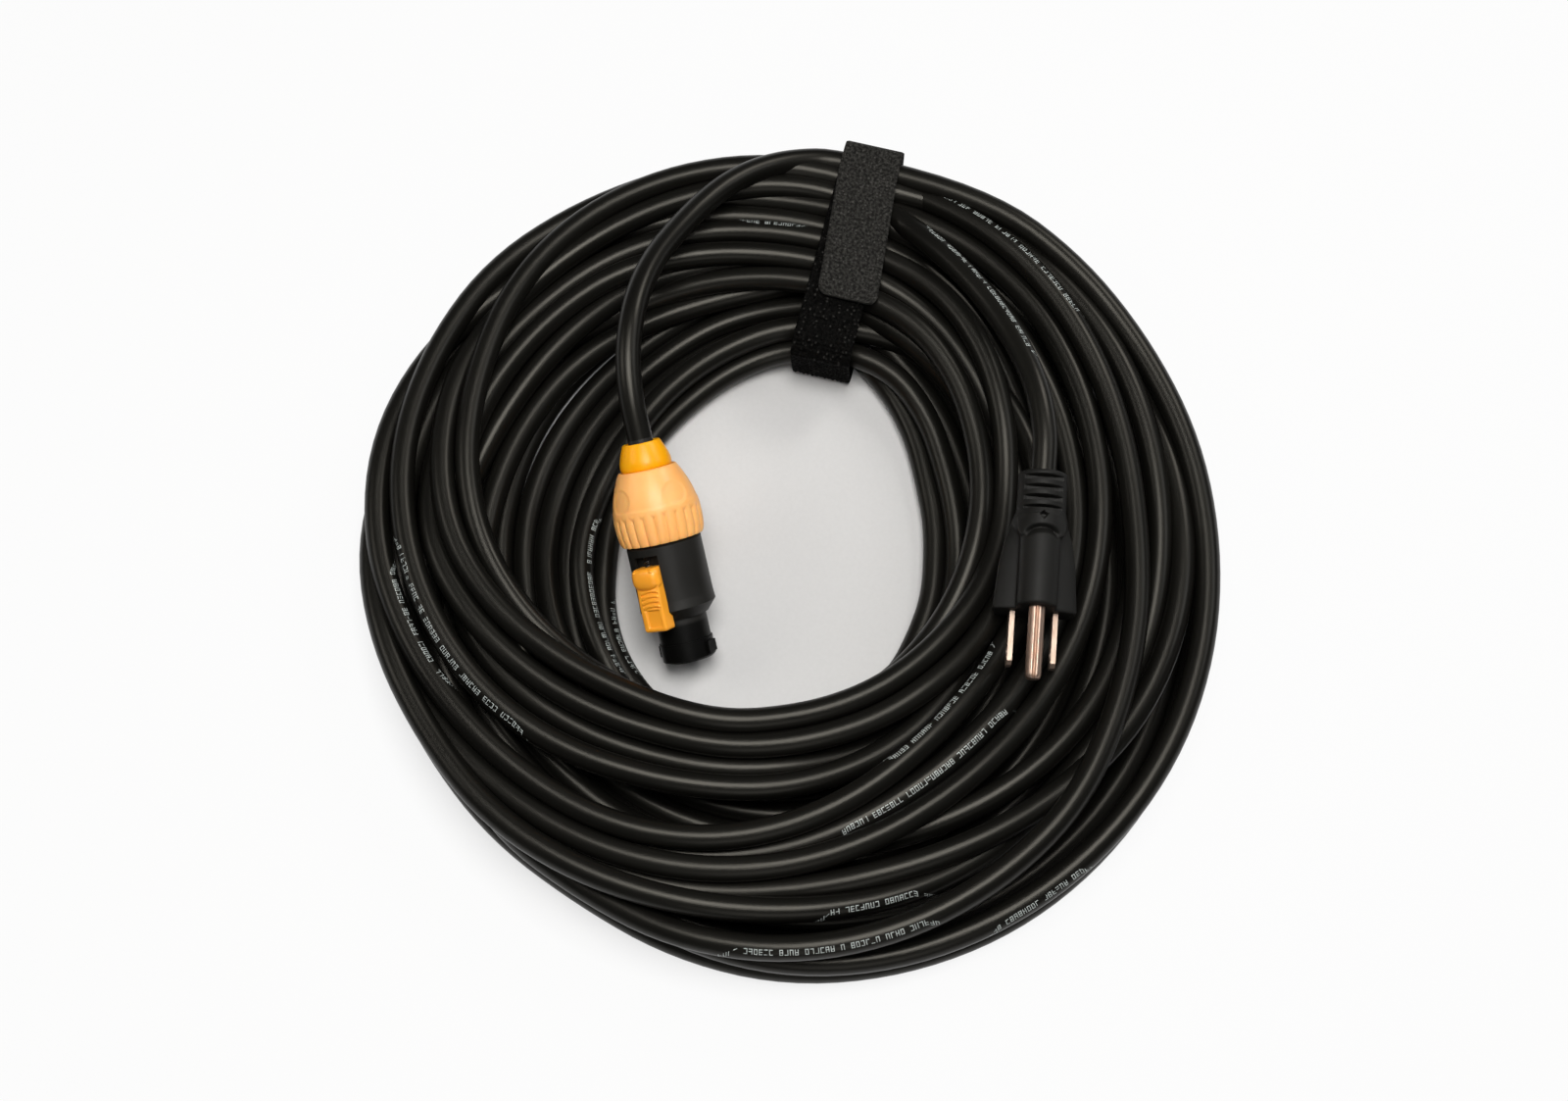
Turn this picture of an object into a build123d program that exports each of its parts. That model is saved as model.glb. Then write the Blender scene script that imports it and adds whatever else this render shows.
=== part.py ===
from build123d import *
import os
from math import cos, pi, radians, sin, tan

# Coiled power link cable: a locking inline connector on one end, a three-pin wall plug on the other,
# the coil tied with a hook-and-loop strap. Millimetres, +Z up, the coil flat on the floor at Z = 0.
os.makedirs("parts", exist_ok=True)

# ---------------------------------------------------------------- driving dimensions
CABLE_D = 7.6
CORE_D = 2.6
SLIP = 0.06              # running clearance on a radius
SOFT_GAP = 0.3           # between soft pieces and what they lie on
CENTRE = (-0.7, -2.9)    # the coil's winding centre, so that the whole part stands centred on the origin

# the coil's outer and inner radius every 30 degrees, from +Y towards -X
COIL_OUTER = [133, 131, 131, 128.3, 122, 121, 129, 132, 132, 130, 130, 133]
COIL_HOLE = [66, 57, 51.5, 51, 56, 59, 52, 49, 44, 42.5, 46.5, 62]
COIL_HEIGHT = 24.0
COIL_TOP_ROUND = 8.0
COIL_FOOT_ROUND = 3.0

STRAP_WIDTH = 19.0
STRAP_THICK = 1.6
STRAP_INNER_POINT = (12.1, 64.3)      # where the strap goes down inside the coil, from the winding centre
STRAP_OUTER_POINT = (28.9, 131.1)     # where it goes down outside
TAB_LENGTH = 46.0
TAB_CORNER = 4.0

# connector, measured along its own axis from the tail rim towards the nose
CONNECTOR_TAIL = (-42.6, 24.0, 38.0)
CONNECTOR_NOSE = (-28.4, -33.0, 7.5)
LATCH_TURN = 38.0                     # the latch's side, from straight up towards -X
RIM_EDGE, SHOULDER_EDGE = 0.6, 0.4     # the moulded rims' small chamfers
COLLAR_D, COLLAR_BORE_D, COLLAR_LENGTH = 15.6, 9.2, 9.8
COLLAR_SEAT = 0.4                     # how much the collar narrows where the nut holds it
COLLAR_DOME = [(1.6, 0.0), (0.6, 1.2), (0.0, 3.6), (0.0, 5.2)]      # in from its side, and height
NUT_REAR_D, NUT_MAX_D, NUT_FRONT_D = 18.6, 26.4, 25.0
NUT_START, NUT_END = 7.0, 29.0
NUT_SWELL = [(2.2, 3.0), (0.9, 7.0), (0.2, 11.5), (0.0, 15.0), (0.2, 18.5)]     # in from its widest, and height
NUT_FLUTES = 24
FLUTE_D, FLUTE_DEPTH, FLUTE_START = 3.6, 1.25, 12.0
THREAD_D = 20.8
THREAD_START = 17.0
NUT_STOP = 0.5                        # the nut's inner step stands this far behind the thread
SHOULDER_GAP = 0.4
BODY_D, BODY_FLARE_D = 22.8, 23.2
BODY_END = 52.6
FLARE_START, FLARE_END = 6.0, 3.2     # back from the body's end
BODY_LIP = 1.0                        # the body's end face stands out from the nose by this
NOSE_D, NOSE_RING_D = 15.6, 16.4
NOSE_RING_LENGTH = 6.0
LUG_WIDTH, LUG_HEIGHT, LUG_START, LUG_END = 4.0, 1.0, 5.0, 1.5      # the last two back from the nose's end
INSERT_D = 12.8
INSERT_RECESS = 2.0
COLLET_START, COLLET_SHOULDER, COLLET_END = 10.5, 16.0, 22.0
COLLET_TIP_D, COLLET_D = 11.6, 14.6
COLLET_SLOTS, COLLET_SLOT, COLLET_SLOT_END = 4, 1.0, 14.0
COLLET_ROOM = 0.3                     # round the collet, inside the thread
CHAMBER_D = COLLET_D + 2 * COLLET_ROOM
CHAMBER_END = 38.0
SEAL_D, SEAL_START = 11.6, 15.0
CABLE_END = 23.0                      # where the jacket is cut back inside the connector
TERMINAL_START, TERMINAL_END = 30.0, 38.0
TERMINAL_SIDE = 3.6
TERMINAL_RING_R = 4.0
CONTACT_WIDTH, CONTACT_THICK, CONTACT_END = 3.6, 0.9, 62.0
SCREW_D, SCREW_LENGTH, SCREW_HEAD_D, SCREW_HEAD = 2.0, 2.4, 2.6, 0.8
CORE_GAP = 0.02                       # between the three cores where they lie together
ORING_WIRE_D, ORING_PLACE = 1.1, 27.6

LATCH_START, LATCH_END = 35.5, 55.5
LATCH_WIDTH, LATCH_TOP, LATCH_FLOOR = 8.2, 14.8, 8.7
LATCH_RAIL_WIDTH, LATCH_RAIL_HEIGHT = 9.8, 0.8
LATCH_SLIP = 0.1
LATCH_TRAVEL, LATCH_END_ROOM = 3.0, 0.5
LATCH_BUMP, LATCH_STEP = 5.5, 1.2     # the thumb piece's length, and how far the rest lies below it
LATCH_TOP_ROUND, LATCH_CORNER = 1.1, 0.8
RIDGES, RIDGE_START, RIDGE_PITCH, RIDGE_GROOVE, RIDGE_DEPTH, RIDGE_MARGIN = 3, 1.4, 1.5, 0.7, 0.4, 1.0
SPRING_D, SPRING_WIRE_D, SPRING_TURNS = 2.1, 0.35, 9
SPRING_HEIGHT = 10.2                  # the spring's axis, out from the connector's axis
SPRING_SEAT = 44.5

# plug, measured along its own axis from the tail of the strain relief towards the face
PLUG_TAIL = (76.7, 13.2, 41.5)
PLUG_FACE = (73.2, -27.6, 36.4)
PLUG_LENGTH = 41.0
RELIEF_D, RELIEF_LENGTH = 14.6, 12.5
RELIEF_RIBS, RELIEF_SLOT, RELIEF_FIRST = 4, 1.3, 0.75     # the first slot's place, in rib pitches
RELIEF_CORE_D, RELIEF_RAIL = 10.2, 1.8
WING_WIDTH, WING_REAR_WIDTH, WING_REAR = 24.6, 22.4, 0.66 * PLUG_LENGTH
WING_TOP, WING_BOTTOM = 0.5, -12.3
WING_TOP_ROUND, WING_BOTTOM_ROUND = 1.5, 2.5
WING_JOIN, WING_NARROW = 2.0, 1.0     # how far the wings reach into the relief, and in from its side
NECK_END, NECK_TOP, NECK_SPREAD = 16.0, 11.4, 1.2
BLADE_SPACING, BLADE_WIDTH, BLADE_THICK, BLADE_REACH = 12.7, 6.3, 1.5, 16.0
EARTH_D, EARTH_REACH, EARTH_ABOVE_BLADES = 4.76, 21.4, 11.9
EARTH_TIP_ROUND, BLADE_TIP = 1.6, 1.2
EARTH_ROOT_D = 4.2                    # the pin is thinner where the plug holds it
BLADE_DROP = -6.5                     # the blades' middle, from the cable's axis
BLADE_HOLE_D, BLADE_HOLE_BACK = 3.2, 4.5
BOSS_D = 11.6
BLOCK_START, BLOCK_END, BLOCK_WIDTH = 0.71 * PLUG_LENGTH, 0.9 * PLUG_LENGTH, 18.6
BLOCK_BELOW, BLOCK_ABOVE = 1.4, 0.8   # how far it reaches past the blades and past the earth pin
BLOCK_WAIST, BLOCK_WAIST_START = 5.0, -1.2
PIN_ROOT = 0.61 * PLUG_LENGTH
CRIMP_D, CRIMP_LENGTH = 3.8, 5.0
PLUG_CABLE_END = 9.0

STUB = 2.0                            # how far the clamped cable end stands out of the connector's tail rim

# the free leads, as points of their centre lines from the winding centre, hand-laid after a straight
# first run out of the connector and out of the plug
CONNECTOR_LEAD_RUN = 12.5
CONNECTOR_LEAD = [(-46.8, 49.0, 48.2), (-45.7, 61.5, 49.2), (-43.2, 73.6, 47.0), (-39.1, 85.0, 43.2),
                  (-33.5, 95.7, 38.6), (-26.3, 105.6, 33.9), (-17.5, 114.1, 29.7), (-7.2, 121.0, 25.7),
                  (3.5, 126.2, 20.4)]
PLUG_LEAD_RUN = 13.0
PLUG_LEAD = [(76.0, 41.0, 42.4), (71.6, 55.6, 39.2), (65.0, 69.8, 35.8), (56.8, 83.2, 32.6),
             (47.4, 96.0, 28.2), (38.2, 108.4, 17.6)]

# ---------------------------------------------------------------- small helpers
home = Pos(CENTRE[0], CENTRE[1], 0)


def turned(profile):
    """A solid of revolution about Z from (radius, height) points."""
    return revolve(make_face(Polyline(*[(r, 0, h) for r, h in profile], close=True)), Axis.Z)


def rod(d, start, end, x=0.0, y=0.0):
    """A round bar along Z from start to end."""
    return Pos(x, y, (start + end) / 2) * Cylinder(d / 2, end - start)


def bar(x0, x1, y0, y1, z0, z1):
    """A rectangular block between two corners."""
    return Pos((x0 + x1) / 2, (y0 + y1) / 2, (z0 + z1) / 2) * Box(x1 - x0, y1 - y0, z1 - z0)


def around(count, shape, first=0.0):
    """Copies of a shape spread evenly about Z."""
    return [Rot(0, 0, first + 360.0 * i / count) * shape for i in range(count)]


def corner_radii(points):
    """Each corner's arc: 0.45 of its shorter run over the tangent of half its turn."""
    ends = [Vector(*p) for p in points]
    runs = [b - a for a, b in zip(ends, ends[1:])]
    turns = [radians(a.get_angle(b)) for a, b in zip(runs, runs[1:])]
    return [0.45 * min(a.length, b.length) / tan(t / 2) for a, b, t in zip(runs, runs[1:], turns)]


def tube(points, d, name):
    """A round bar along straight runs joined by tangent arcs."""
    radii = corner_radii(points)
    line = FilletPolyline(*points, radius=radii)
    solid = sweep(Plane(line @ 0, z_dir=line % 0) * Circle(d / 2), path=line)
    share = solid.volume / (pi * d * d / 4 * line.length)
    print(f"{name}: length {line.length:.1f}, volume share {share:.4f}, radii", [round(r) for r in radii])
    return solid


def only_solid(shape):
    """The one solid of a shape, largest first."""
    return max(shape.solids(), key=lambda s: s.volume)


# ---------------------------------------------------------------- coil
def ring_face(radii):
    """A closed smooth outline through one radius for each even step round the winding centre."""
    step = 2 * pi / len(radii)
    points = [(-r * sin(i * step), r * cos(i * step)) for i, r in enumerate(radii)]
    return make_face(Spline(*points, periodic=True))


coil_sketch = ring_face(COIL_OUTER) - ring_face(COIL_HOLE)
coil = extrude(coil_sketch, COIL_HEIGHT)
coil = fillet(coil.edges().group_by(Axis.Z)[-1], COIL_TOP_ROUND)
coil = fillet(coil.edges().group_by(Axis.Z)[0], COIL_FOOT_ROUND)

# ---------------------------------------------------------------- strap
# its own frame: X outwards along the strap, Y up, Z across its width, origin inside the coil on the floor
strap_in = Vector(*STRAP_INNER_POINT, 0)
strap_out = Vector(*STRAP_OUTER_POINT, 0)
strap_axis = (strap_out - strap_in).normalized()
strap_frame = Plane(origin=strap_in, x_dir=strap_axis, z_dir=strap_axis.cross(Vector(0, 0, 1))).location
STRAP_REACH = (strap_out - strap_in).length
STRAP_LIFT = COIL_HEIGHT + SOFT_GAP + STRAP_THICK          # the loop's upper face


def strap_slab(grow, bottom):
    """The block inside a loop that stands off the coil by a distance, rounded like the coil's top."""
    low, high = -SOFT_GAP - grow, STRAP_REACH + SOFT_GAP + grow
    top = COIL_HEIGHT + SOFT_GAP + grow
    block = Pos((low + high) / 2, (top + bottom) / 2, 0) * Box(high - low, top - bottom, STRAP_WIDTH)
    return fillet(block.edges().filter_by(Axis.Z).group_by(Axis.Y)[-1], COIL_TOP_ROUND + grow)


strap_band = strap_slab(STRAP_THICK, 0) - strap_slab(0, STRAP_THICK)
strap_seat = Pos(STRAP_REACH / 2, 0, 0) * Box(
    STRAP_REACH + 4 * STRAP_THICK, 2 * (STRAP_THICK + SOFT_GAP), STRAP_WIDTH + 2 * SOFT_GAP)
coil = only_solid(coil - strap_frame * strap_seat)

tab_root = STRAP_REACH - COIL_TOP_ROUND
strap_tab = Pos(tab_root - TAB_LENGTH / 2, STRAP_LIFT + SOFT_GAP + STRAP_THICK / 2, 0) * Box(
    TAB_LENGTH, STRAP_THICK, STRAP_WIDTH)
strap_tab = fillet(strap_tab.edges().filter_by(Axis.Y).group_by(Axis.X)[0], TAB_CORNER)

# ---------------------------------------------------------------- connector
# its own frame: Z from the tail rim to the nose, X out through the middle of the latch
tail = Vector(*CONNECTOR_TAIL)
nose = Vector(*CONNECTOR_NOSE)
nose_way = (nose - tail).normalized()
up_way = (Vector(0, 0, 1) - nose_way * nose_way.Z).normalized()
left_way = up_way.cross(nose_way)
if left_way.X > 0:
    left_way = -left_way
latch_way = up_way * cos(radians(LATCH_TURN)) + left_way * sin(radians(LATCH_TURN))
connector_frame = Plane(origin=tail, x_dir=latch_way, z_dir=nose_way).location
NOSE_END = (nose - tail).length

thread_r = THREAD_D / 2
shoulder = NUT_END + SHOULDER_GAP
nose_ring_start = NOSE_END - NOSE_RING_LENGTH
housing = turned([
    (CHAMBER_D / 2, THREAD_START), (thread_r - RIM_EDGE, THREAD_START), (thread_r, THREAD_START + RIM_EDGE),
    (thread_r, shoulder), (BODY_D / 2 - SHOULDER_EDGE, shoulder), (BODY_D / 2, shoulder + SHOULDER_EDGE),
    (BODY_D / 2, BODY_END - FLARE_START), (BODY_FLARE_D / 2, BODY_END - FLARE_END),
    (NOSE_D / 2 + BODY_LIP, BODY_END), (NOSE_D / 2, BODY_END),
    (NOSE_D / 2, nose_ring_start), (NOSE_RING_D / 2, nose_ring_start), (NOSE_RING_D / 2, NOSE_END - RIM_EDGE),
    (NOSE_RING_D / 2 - RIM_EDGE, NOSE_END), (INSERT_D / 2, NOSE_END), (INSERT_D / 2, CHAMBER_END),
    (CHAMBER_D / 2, CHAMBER_END)])
oring_seat = ORING_WIRE_D / 2 + SLIP
oring_r = thread_r + SLIP / 2 - ORING_WIRE_D / 2
housing -= turned([
    (oring_r - ORING_WIRE_D / 2, ORING_PLACE - oring_seat), (thread_r + 1, ORING_PLACE - oring_seat),
    (thread_r + 1, ORING_PLACE + oring_seat), (oring_r - ORING_WIRE_D / 2, ORING_PLACE + oring_seat)])
lug = bar(NOSE_RING_D / 2 - LUG_HEIGHT, NOSE_RING_D / 2 + LUG_HEIGHT, -LUG_WIDTH / 2, LUG_WIDTH / 2,
          NOSE_END - LUG_START, NOSE_END - LUG_END)
for key in around(2, lug, 90):
    housing += key
channel_start = LATCH_START - LATCH_TRAVEL - LATCH_END_ROOM
channel_floor = LATCH_FLOOR - LATCH_SLIP
channel_side = LATCH_WIDTH / 2 + LATCH_SLIP
rail_side = LATCH_RAIL_WIDTH / 2 + LATCH_SLIP
rail_top = LATCH_FLOOR + LATCH_RAIL_HEIGHT + LATCH_SLIP
housing -= bar(channel_floor, BODY_D, -channel_side, channel_side, channel_start, BODY_END + 1)
housing -= bar(channel_floor, rail_top, -rail_side, rail_side, channel_start, BODY_END + 1)
housing = only_solid(housing)
nut_oring = Pos(0, 0, ORING_PLACE) * Torus(oring_r, ORING_WIRE_D / 2)

insert_end = NOSE_END - INSERT_RECESS
contact_insert = rod(INSERT_D, CHAMBER_END, insert_end)
for slot in around(3, bar(TERMINAL_RING_R - CONTACT_THICK / 2, TERMINAL_RING_R + CONTACT_THICK / 2,
                          -CONTACT_WIDTH / 2, CONTACT_WIDTH / 2, CHAMBER_END, insert_end), 60):
    contact_insert -= slot
contact = bar(TERMINAL_RING_R - TERMINAL_SIDE / 2, TERMINAL_RING_R + TERMINAL_SIDE / 2,
              -TERMINAL_SIDE / 2, TERMINAL_SIDE / 2, TERMINAL_START, TERMINAL_END)
contact += bar(TERMINAL_RING_R - CONTACT_THICK / 2, TERMINAL_RING_R + CONTACT_THICK / 2,
               -CONTACT_WIDTH / 2, CONTACT_WIDTH / 2, TERMINAL_END, CONTACT_END)
screw_place = (TERMINAL_START + TERMINAL_END) / 2
screw_seat = TERMINAL_RING_R + TERMINAL_SIDE / 2
screw = Pos(screw_seat - SCREW_LENGTH / 2, 0, screw_place) * Rot(0, 90, 0) * Cylinder(SCREW_D / 2, SCREW_LENGTH)
contact -= screw
screw += Pos(screw_seat + SCREW_HEAD / 2, 0, screw_place) * Rot(0, 90, 0) * Cylinder(
    SCREW_HEAD_D / 2, SCREW_HEAD)
contacts = around(3, contact, 60)
terminal_screws = Compound(children=[only_solid(s) for s in around(3, screw, 60)])

core_r = CORE_D / 2
core_bundle_r = core_r / cos(pi / 6) + CORE_GAP
core_run = (TERMINAL_START - CABLE_END) / 3
core_path = [(core_bundle_r, 0, CABLE_END), (core_bundle_r, 0, CABLE_END + core_run),
             (TERMINAL_RING_R, 0, TERMINAL_START - core_run), (TERMINAL_RING_R, 0, TERMINAL_START)]
connector_cores = around(3, tube(core_path, CORE_D, "connector core"), 60)

cable_bore_r = CABLE_D / 2 + SLIP
clamp_collet = turned([
    (cable_bore_r, COLLET_START), (COLLET_TIP_D / 2, COLLET_START), (COLLET_D / 2, COLLET_SHOULDER),
    (COLLET_D / 2, COLLET_END), (SEAL_D / 2, COLLET_END), (SEAL_D / 2, SEAL_START), (cable_bore_r, SEAL_START)])
collet_slot = bar(0, COLLET_D, -COLLET_SLOT / 2, COLLET_SLOT / 2, COLLET_START - 1, COLLET_SLOT_END)
for slot in around(COLLET_SLOTS, collet_slot, 45):
    clamp_collet -= slot
clamp_collet = only_solid(clamp_collet)
gland_seal = turned([(cable_bore_r, SEAL_START), (SEAL_D / 2, SEAL_START), (SEAL_D / 2, COLLET_END),
                     (cable_bore_r, COLLET_END)])

collar_seat_r = COLLAR_D / 2 - COLLAR_SEAT
tail_collar = turned(
    [(COLLAR_BORE_D / 2, RIM_EDGE), (COLLAR_BORE_D / 2 + RIM_EDGE, 0)]
    + [(COLLAR_D / 2 - inward, height) for inward, height in COLLAR_DOME]
    + [(collar_seat_r, NUT_START), (collar_seat_r, COLLAR_LENGTH), (COLLAR_BORE_D / 2, COLLAR_LENGTH)])
nut_bore_r = thread_r + SLIP
nut_step = THREAD_START - NUT_STOP
rear_nut = turned(
    [(collar_seat_r, NUT_START), (NUT_REAR_D / 2 - RIM_EDGE, NUT_START), (NUT_REAR_D / 2, NUT_START + RIM_EDGE)]
    + [(NUT_MAX_D / 2 - inward, NUT_START + height) for inward, height in NUT_SWELL]
    + [(NUT_FRONT_D / 2, NUT_END - SHOULDER_EDGE), (NUT_FRONT_D / 2 - SHOULDER_EDGE, NUT_END),
       (nut_bore_r, NUT_END), (nut_bore_r, nut_step), (COLLET_D / 2 + SLIP, nut_step),
       (COLLET_D / 2 + SLIP, COLLET_SHOULDER), (COLLET_TIP_D / 2 + SLIP, COLLET_START),
       (COLLET_TIP_D / 2 + SLIP, COLLAR_LENGTH), (collar_seat_r, COLLAR_LENGTH)])
flute_axis = (NUT_MAX_D + FLUTE_D) / 2 - FLUTE_DEPTH
flute = rod(FLUTE_D, NUT_START + FLUTE_START, NUT_END + 1, flute_axis)
for cut in around(NUT_FLUTES, flute):
    rear_nut -= cut
rear_nut = only_solid(rear_nut)

latch = bar(LATCH_FLOOR, LATCH_TOP, -LATCH_WIDTH / 2, LATCH_WIDTH / 2, LATCH_START, LATCH_END)
latch_main_top = LATCH_TOP - LATCH_STEP
latch -= bar(latch_main_top, LATCH_TOP + 1, -LATCH_WIDTH, LATCH_WIDTH, LATCH_START + LATCH_BUMP, LATCH_END + 1)
latch = fillet(latch.edges().filter_by(Axis.Y).group_by(Axis.X)[-1], LATCH_TOP_ROUND)
latch = fillet(latch.edges().filter_by(Axis.Z).group_by(Axis.X)[-1], LATCH_CORNER)
groove_side = LATCH_WIDTH / 2 - RIDGE_MARGIN
for ridge in range(RIDGES):
    place = LATCH_START + LATCH_BUMP + RIDGE_START + RIDGE_PITCH * ridge
    latch -= bar(latch_main_top - RIDGE_DEPTH, LATCH_TOP, -groove_side, groove_side,
                 place, place + RIDGE_GROOVE)
latch += bar(LATCH_FLOOR, LATCH_FLOOR + LATCH_RAIL_HEIGHT, -LATCH_RAIL_WIDTH / 2, LATCH_RAIL_WIDTH / 2,
             LATCH_START, BODY_END)
spring_r = SPRING_D / 2
latch -= bar(LATCH_FLOOR - 1, SPRING_HEIGHT + spring_r + LATCH_SLIP, -spring_r - LATCH_SLIP,
             spring_r + LATCH_SLIP, LATCH_START - 1, SPRING_SEAT)
latch = only_solid(latch)
spring_length = SPRING_SEAT - channel_start - SPRING_WIRE_D
coil_line = Helix(spring_length / SPRING_TURNS, spring_length, spring_r - SPRING_WIRE_D / 2)
latch_spring = Pos(SPRING_HEIGHT, 0, channel_start + SPRING_WIRE_D / 2) * sweep(
    Plane(coil_line @ 0, z_dir=coil_line % 0) * Circle(SPRING_WIRE_D / 2), path=coil_line)

# ---------------------------------------------------------------- plug
# its own frame: Z from the tail of the relief to the face, X to the right, Y up towards the earth pin
plug_tail = Vector(*PLUG_TAIL)
plug_way = (Vector(*PLUG_FACE) - plug_tail).normalized()
plug_up = (Vector(0, 0, 1) - plug_way * plug_way.Z).normalized()
plug_frame = Plane(origin=plug_tail, x_dir=plug_up.cross(plug_way), z_dir=plug_way).location
EARTH_HEIGHT = BLADE_DROP + EARTH_ABOVE_BLADES

relief = rod(RELIEF_D, 0, RELIEF_LENGTH)
slot_pitch = RELIEF_LENGTH / RELIEF_RIBS
relief_window = bar(-RELIEF_D / 2 + RELIEF_RAIL, RELIEF_D / 2 - RELIEF_RAIL, RELIEF_CORE_D / 2, RELIEF_D,
                    -RELIEF_SLOT / 2, RELIEF_SLOT / 2)
for rib in range(RELIEF_RIBS):
    for window in around(2, relief_window):
        relief -= Pos(0, 0, (rib + RELIEF_FIRST) * slot_pitch) * window
neck_root = Plane.XY.offset(RELIEF_LENGTH - SLIP) * Circle(RELIEF_D / 2)
neck_mouth = Plane.XY.offset(NECK_END) * Pos(0, (NECK_TOP - RELIEF_D / 2) / 2) * Ellipse(
    RELIEF_D / 2 + NECK_SPREAD, (NECK_TOP + RELIEF_D / 2) / 2)
neck = loft([neck_root, neck_mouth])
wing_start = RELIEF_LENGTH - WING_JOIN
wing_root = RELIEF_D / 2 - WING_NARROW
wing_outline = Polyline(
    (-wing_root, wing_start), (wing_root, wing_start), (WING_REAR_WIDTH / 2, WING_REAR),
    (WING_WIDTH / 2, PLUG_LENGTH), (-WING_WIDTH / 2, PLUG_LENGTH), (-WING_REAR_WIDTH / 2, WING_REAR),
    close=True)
wings = Pos(0, WING_BOTTOM, 0) * extrude(
    Plane.XZ * make_face(wing_outline), WING_TOP - WING_BOTTOM, dir=(0, 1, 0))
wings = fillet(wings.edges().filter_by(Plane.XZ).group_by(Axis.Y)[-1], WING_TOP_ROUND)
wings = fillet(wings.edges().filter_by(Plane.XZ).group_by(Axis.Y)[0], WING_BOTTOM_ROUND)
boss_start = NECK_END - WING_JOIN
boss = rod(BOSS_D, boss_start, PLUG_LENGTH, 0, EARTH_HEIGHT)
boss += bar(-BOSS_D / 2, BOSS_D / 2, 0, EARTH_HEIGHT, boss_start, PLUG_LENGTH)
plug_shape = relief + neck + wings + boss

blade = bar(-BLADE_THICK / 2, BLADE_THICK / 2, BLADE_DROP - BLADE_WIDTH / 2, BLADE_DROP + BLADE_WIDTH / 2,
            PIN_ROOT, PLUG_LENGTH + BLADE_REACH)
blade = chamfer(blade.edges().filter_by(Axis.X).group_by(Axis.Z)[-1], BLADE_TIP)
blade -= Pos(0, BLADE_DROP, PLUG_LENGTH + BLADE_REACH - BLADE_HOLE_BACK) * Rot(0, 90, 0) * Cylinder(
    BLADE_HOLE_D / 2, 2 * BLADE_THICK)
blades = [Pos(side * BLADE_SPACING / 2, 0, 0) * blade for side in (-1, 1)]
earth_pin = rod(EARTH_D, PLUG_LENGTH, PLUG_LENGTH + EARTH_REACH, 0, EARTH_HEIGHT)
earth_pin = fillet(earth_pin.edges().group_by(Axis.Z)[-1], EARTH_TIP_ROUND)
earth_pin += rod(EARTH_ROOT_D, PIN_ROOT, PLUG_LENGTH, 0, EARTH_HEIGHT)
block_top = EARTH_HEIGHT + EARTH_ROOT_D / 2 + BLOCK_ABOVE
inner_block = bar(-BLOCK_WIDTH / 2, BLOCK_WIDTH / 2, BLADE_DROP - BLADE_WIDTH / 2 - BLOCK_BELOW, block_top,
                  BLOCK_START, BLOCK_END)
inner_block -= bar(-BLOCK_WIDTH / 2, BLOCK_WAIST - BLOCK_WIDTH / 2, BLOCK_WAIST_START, block_top,
                   BLOCK_START, BLOCK_END)
inner_block -= bar(BLOCK_WIDTH / 2 - BLOCK_WAIST, BLOCK_WIDTH / 2, BLOCK_WAIST_START, block_top,
                   BLOCK_START, BLOCK_END)
inner_block = inner_block - blades[0] - blades[1] - earth_pin
pin_seats = [(-BLADE_SPACING / 2, BLADE_DROP), (BLADE_SPACING / 2, BLADE_DROP), (0, EARTH_HEIGHT)]
crimp_list = [rod(CRIMP_D, PIN_ROOT - CRIMP_LENGTH, PIN_ROOT, x, y) for x, y in pin_seats]
crimps = Compound(children=crimp_list)
core_last = PIN_ROOT - CRIMP_LENGTH
core_stub = (core_last - PLUG_CABLE_END) / 4
plug_cores = []
for (x, y), turn in zip(pin_seats, (210, 330, 90)):
    near = (core_bundle_r * cos(radians(turn)), core_bundle_r * sin(radians(turn)))
    route = [(*near, PLUG_CABLE_END), (*near, PLUG_CABLE_END + core_stub), (x, y, core_last - core_stub),
             (x, y, core_last)]
    plug_cores.append(tube(route, CORE_D, "plug core"))
plug_cable_hole = rod(CABLE_D, -1, PLUG_CABLE_END)
plug_body = plug_shape - plug_cable_hole - inner_block
for held in (*blades, earth_pin, *crimp_list, *plug_cores):
    plug_body -= held
plug_body = only_solid(plug_body)

# ---------------------------------------------------------------- leads
connector_cable_end = rod(CABLE_D, -STUB, CABLE_END)
plug_cable_end = rod(CABLE_D, 0, PLUG_CABLE_END)


def lead(start, out_way, first_run, points, name):
    """A free lead: straight out of its exit, over the hand-laid points, and down into the coil."""
    first = start + out_way * first_run
    return only_solid(tube([tuple(start), tuple(first)] + points, CABLE_D, name) - coil)


connector_lead = lead(tail - nose_way * STUB, -nose_way, CONNECTOR_LEAD_RUN, CONNECTOR_LEAD, "connector lead")
plug_lead = lead(plug_tail, -plug_way, PLUG_LEAD_RUN, PLUG_LEAD, "plug lead")

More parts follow.
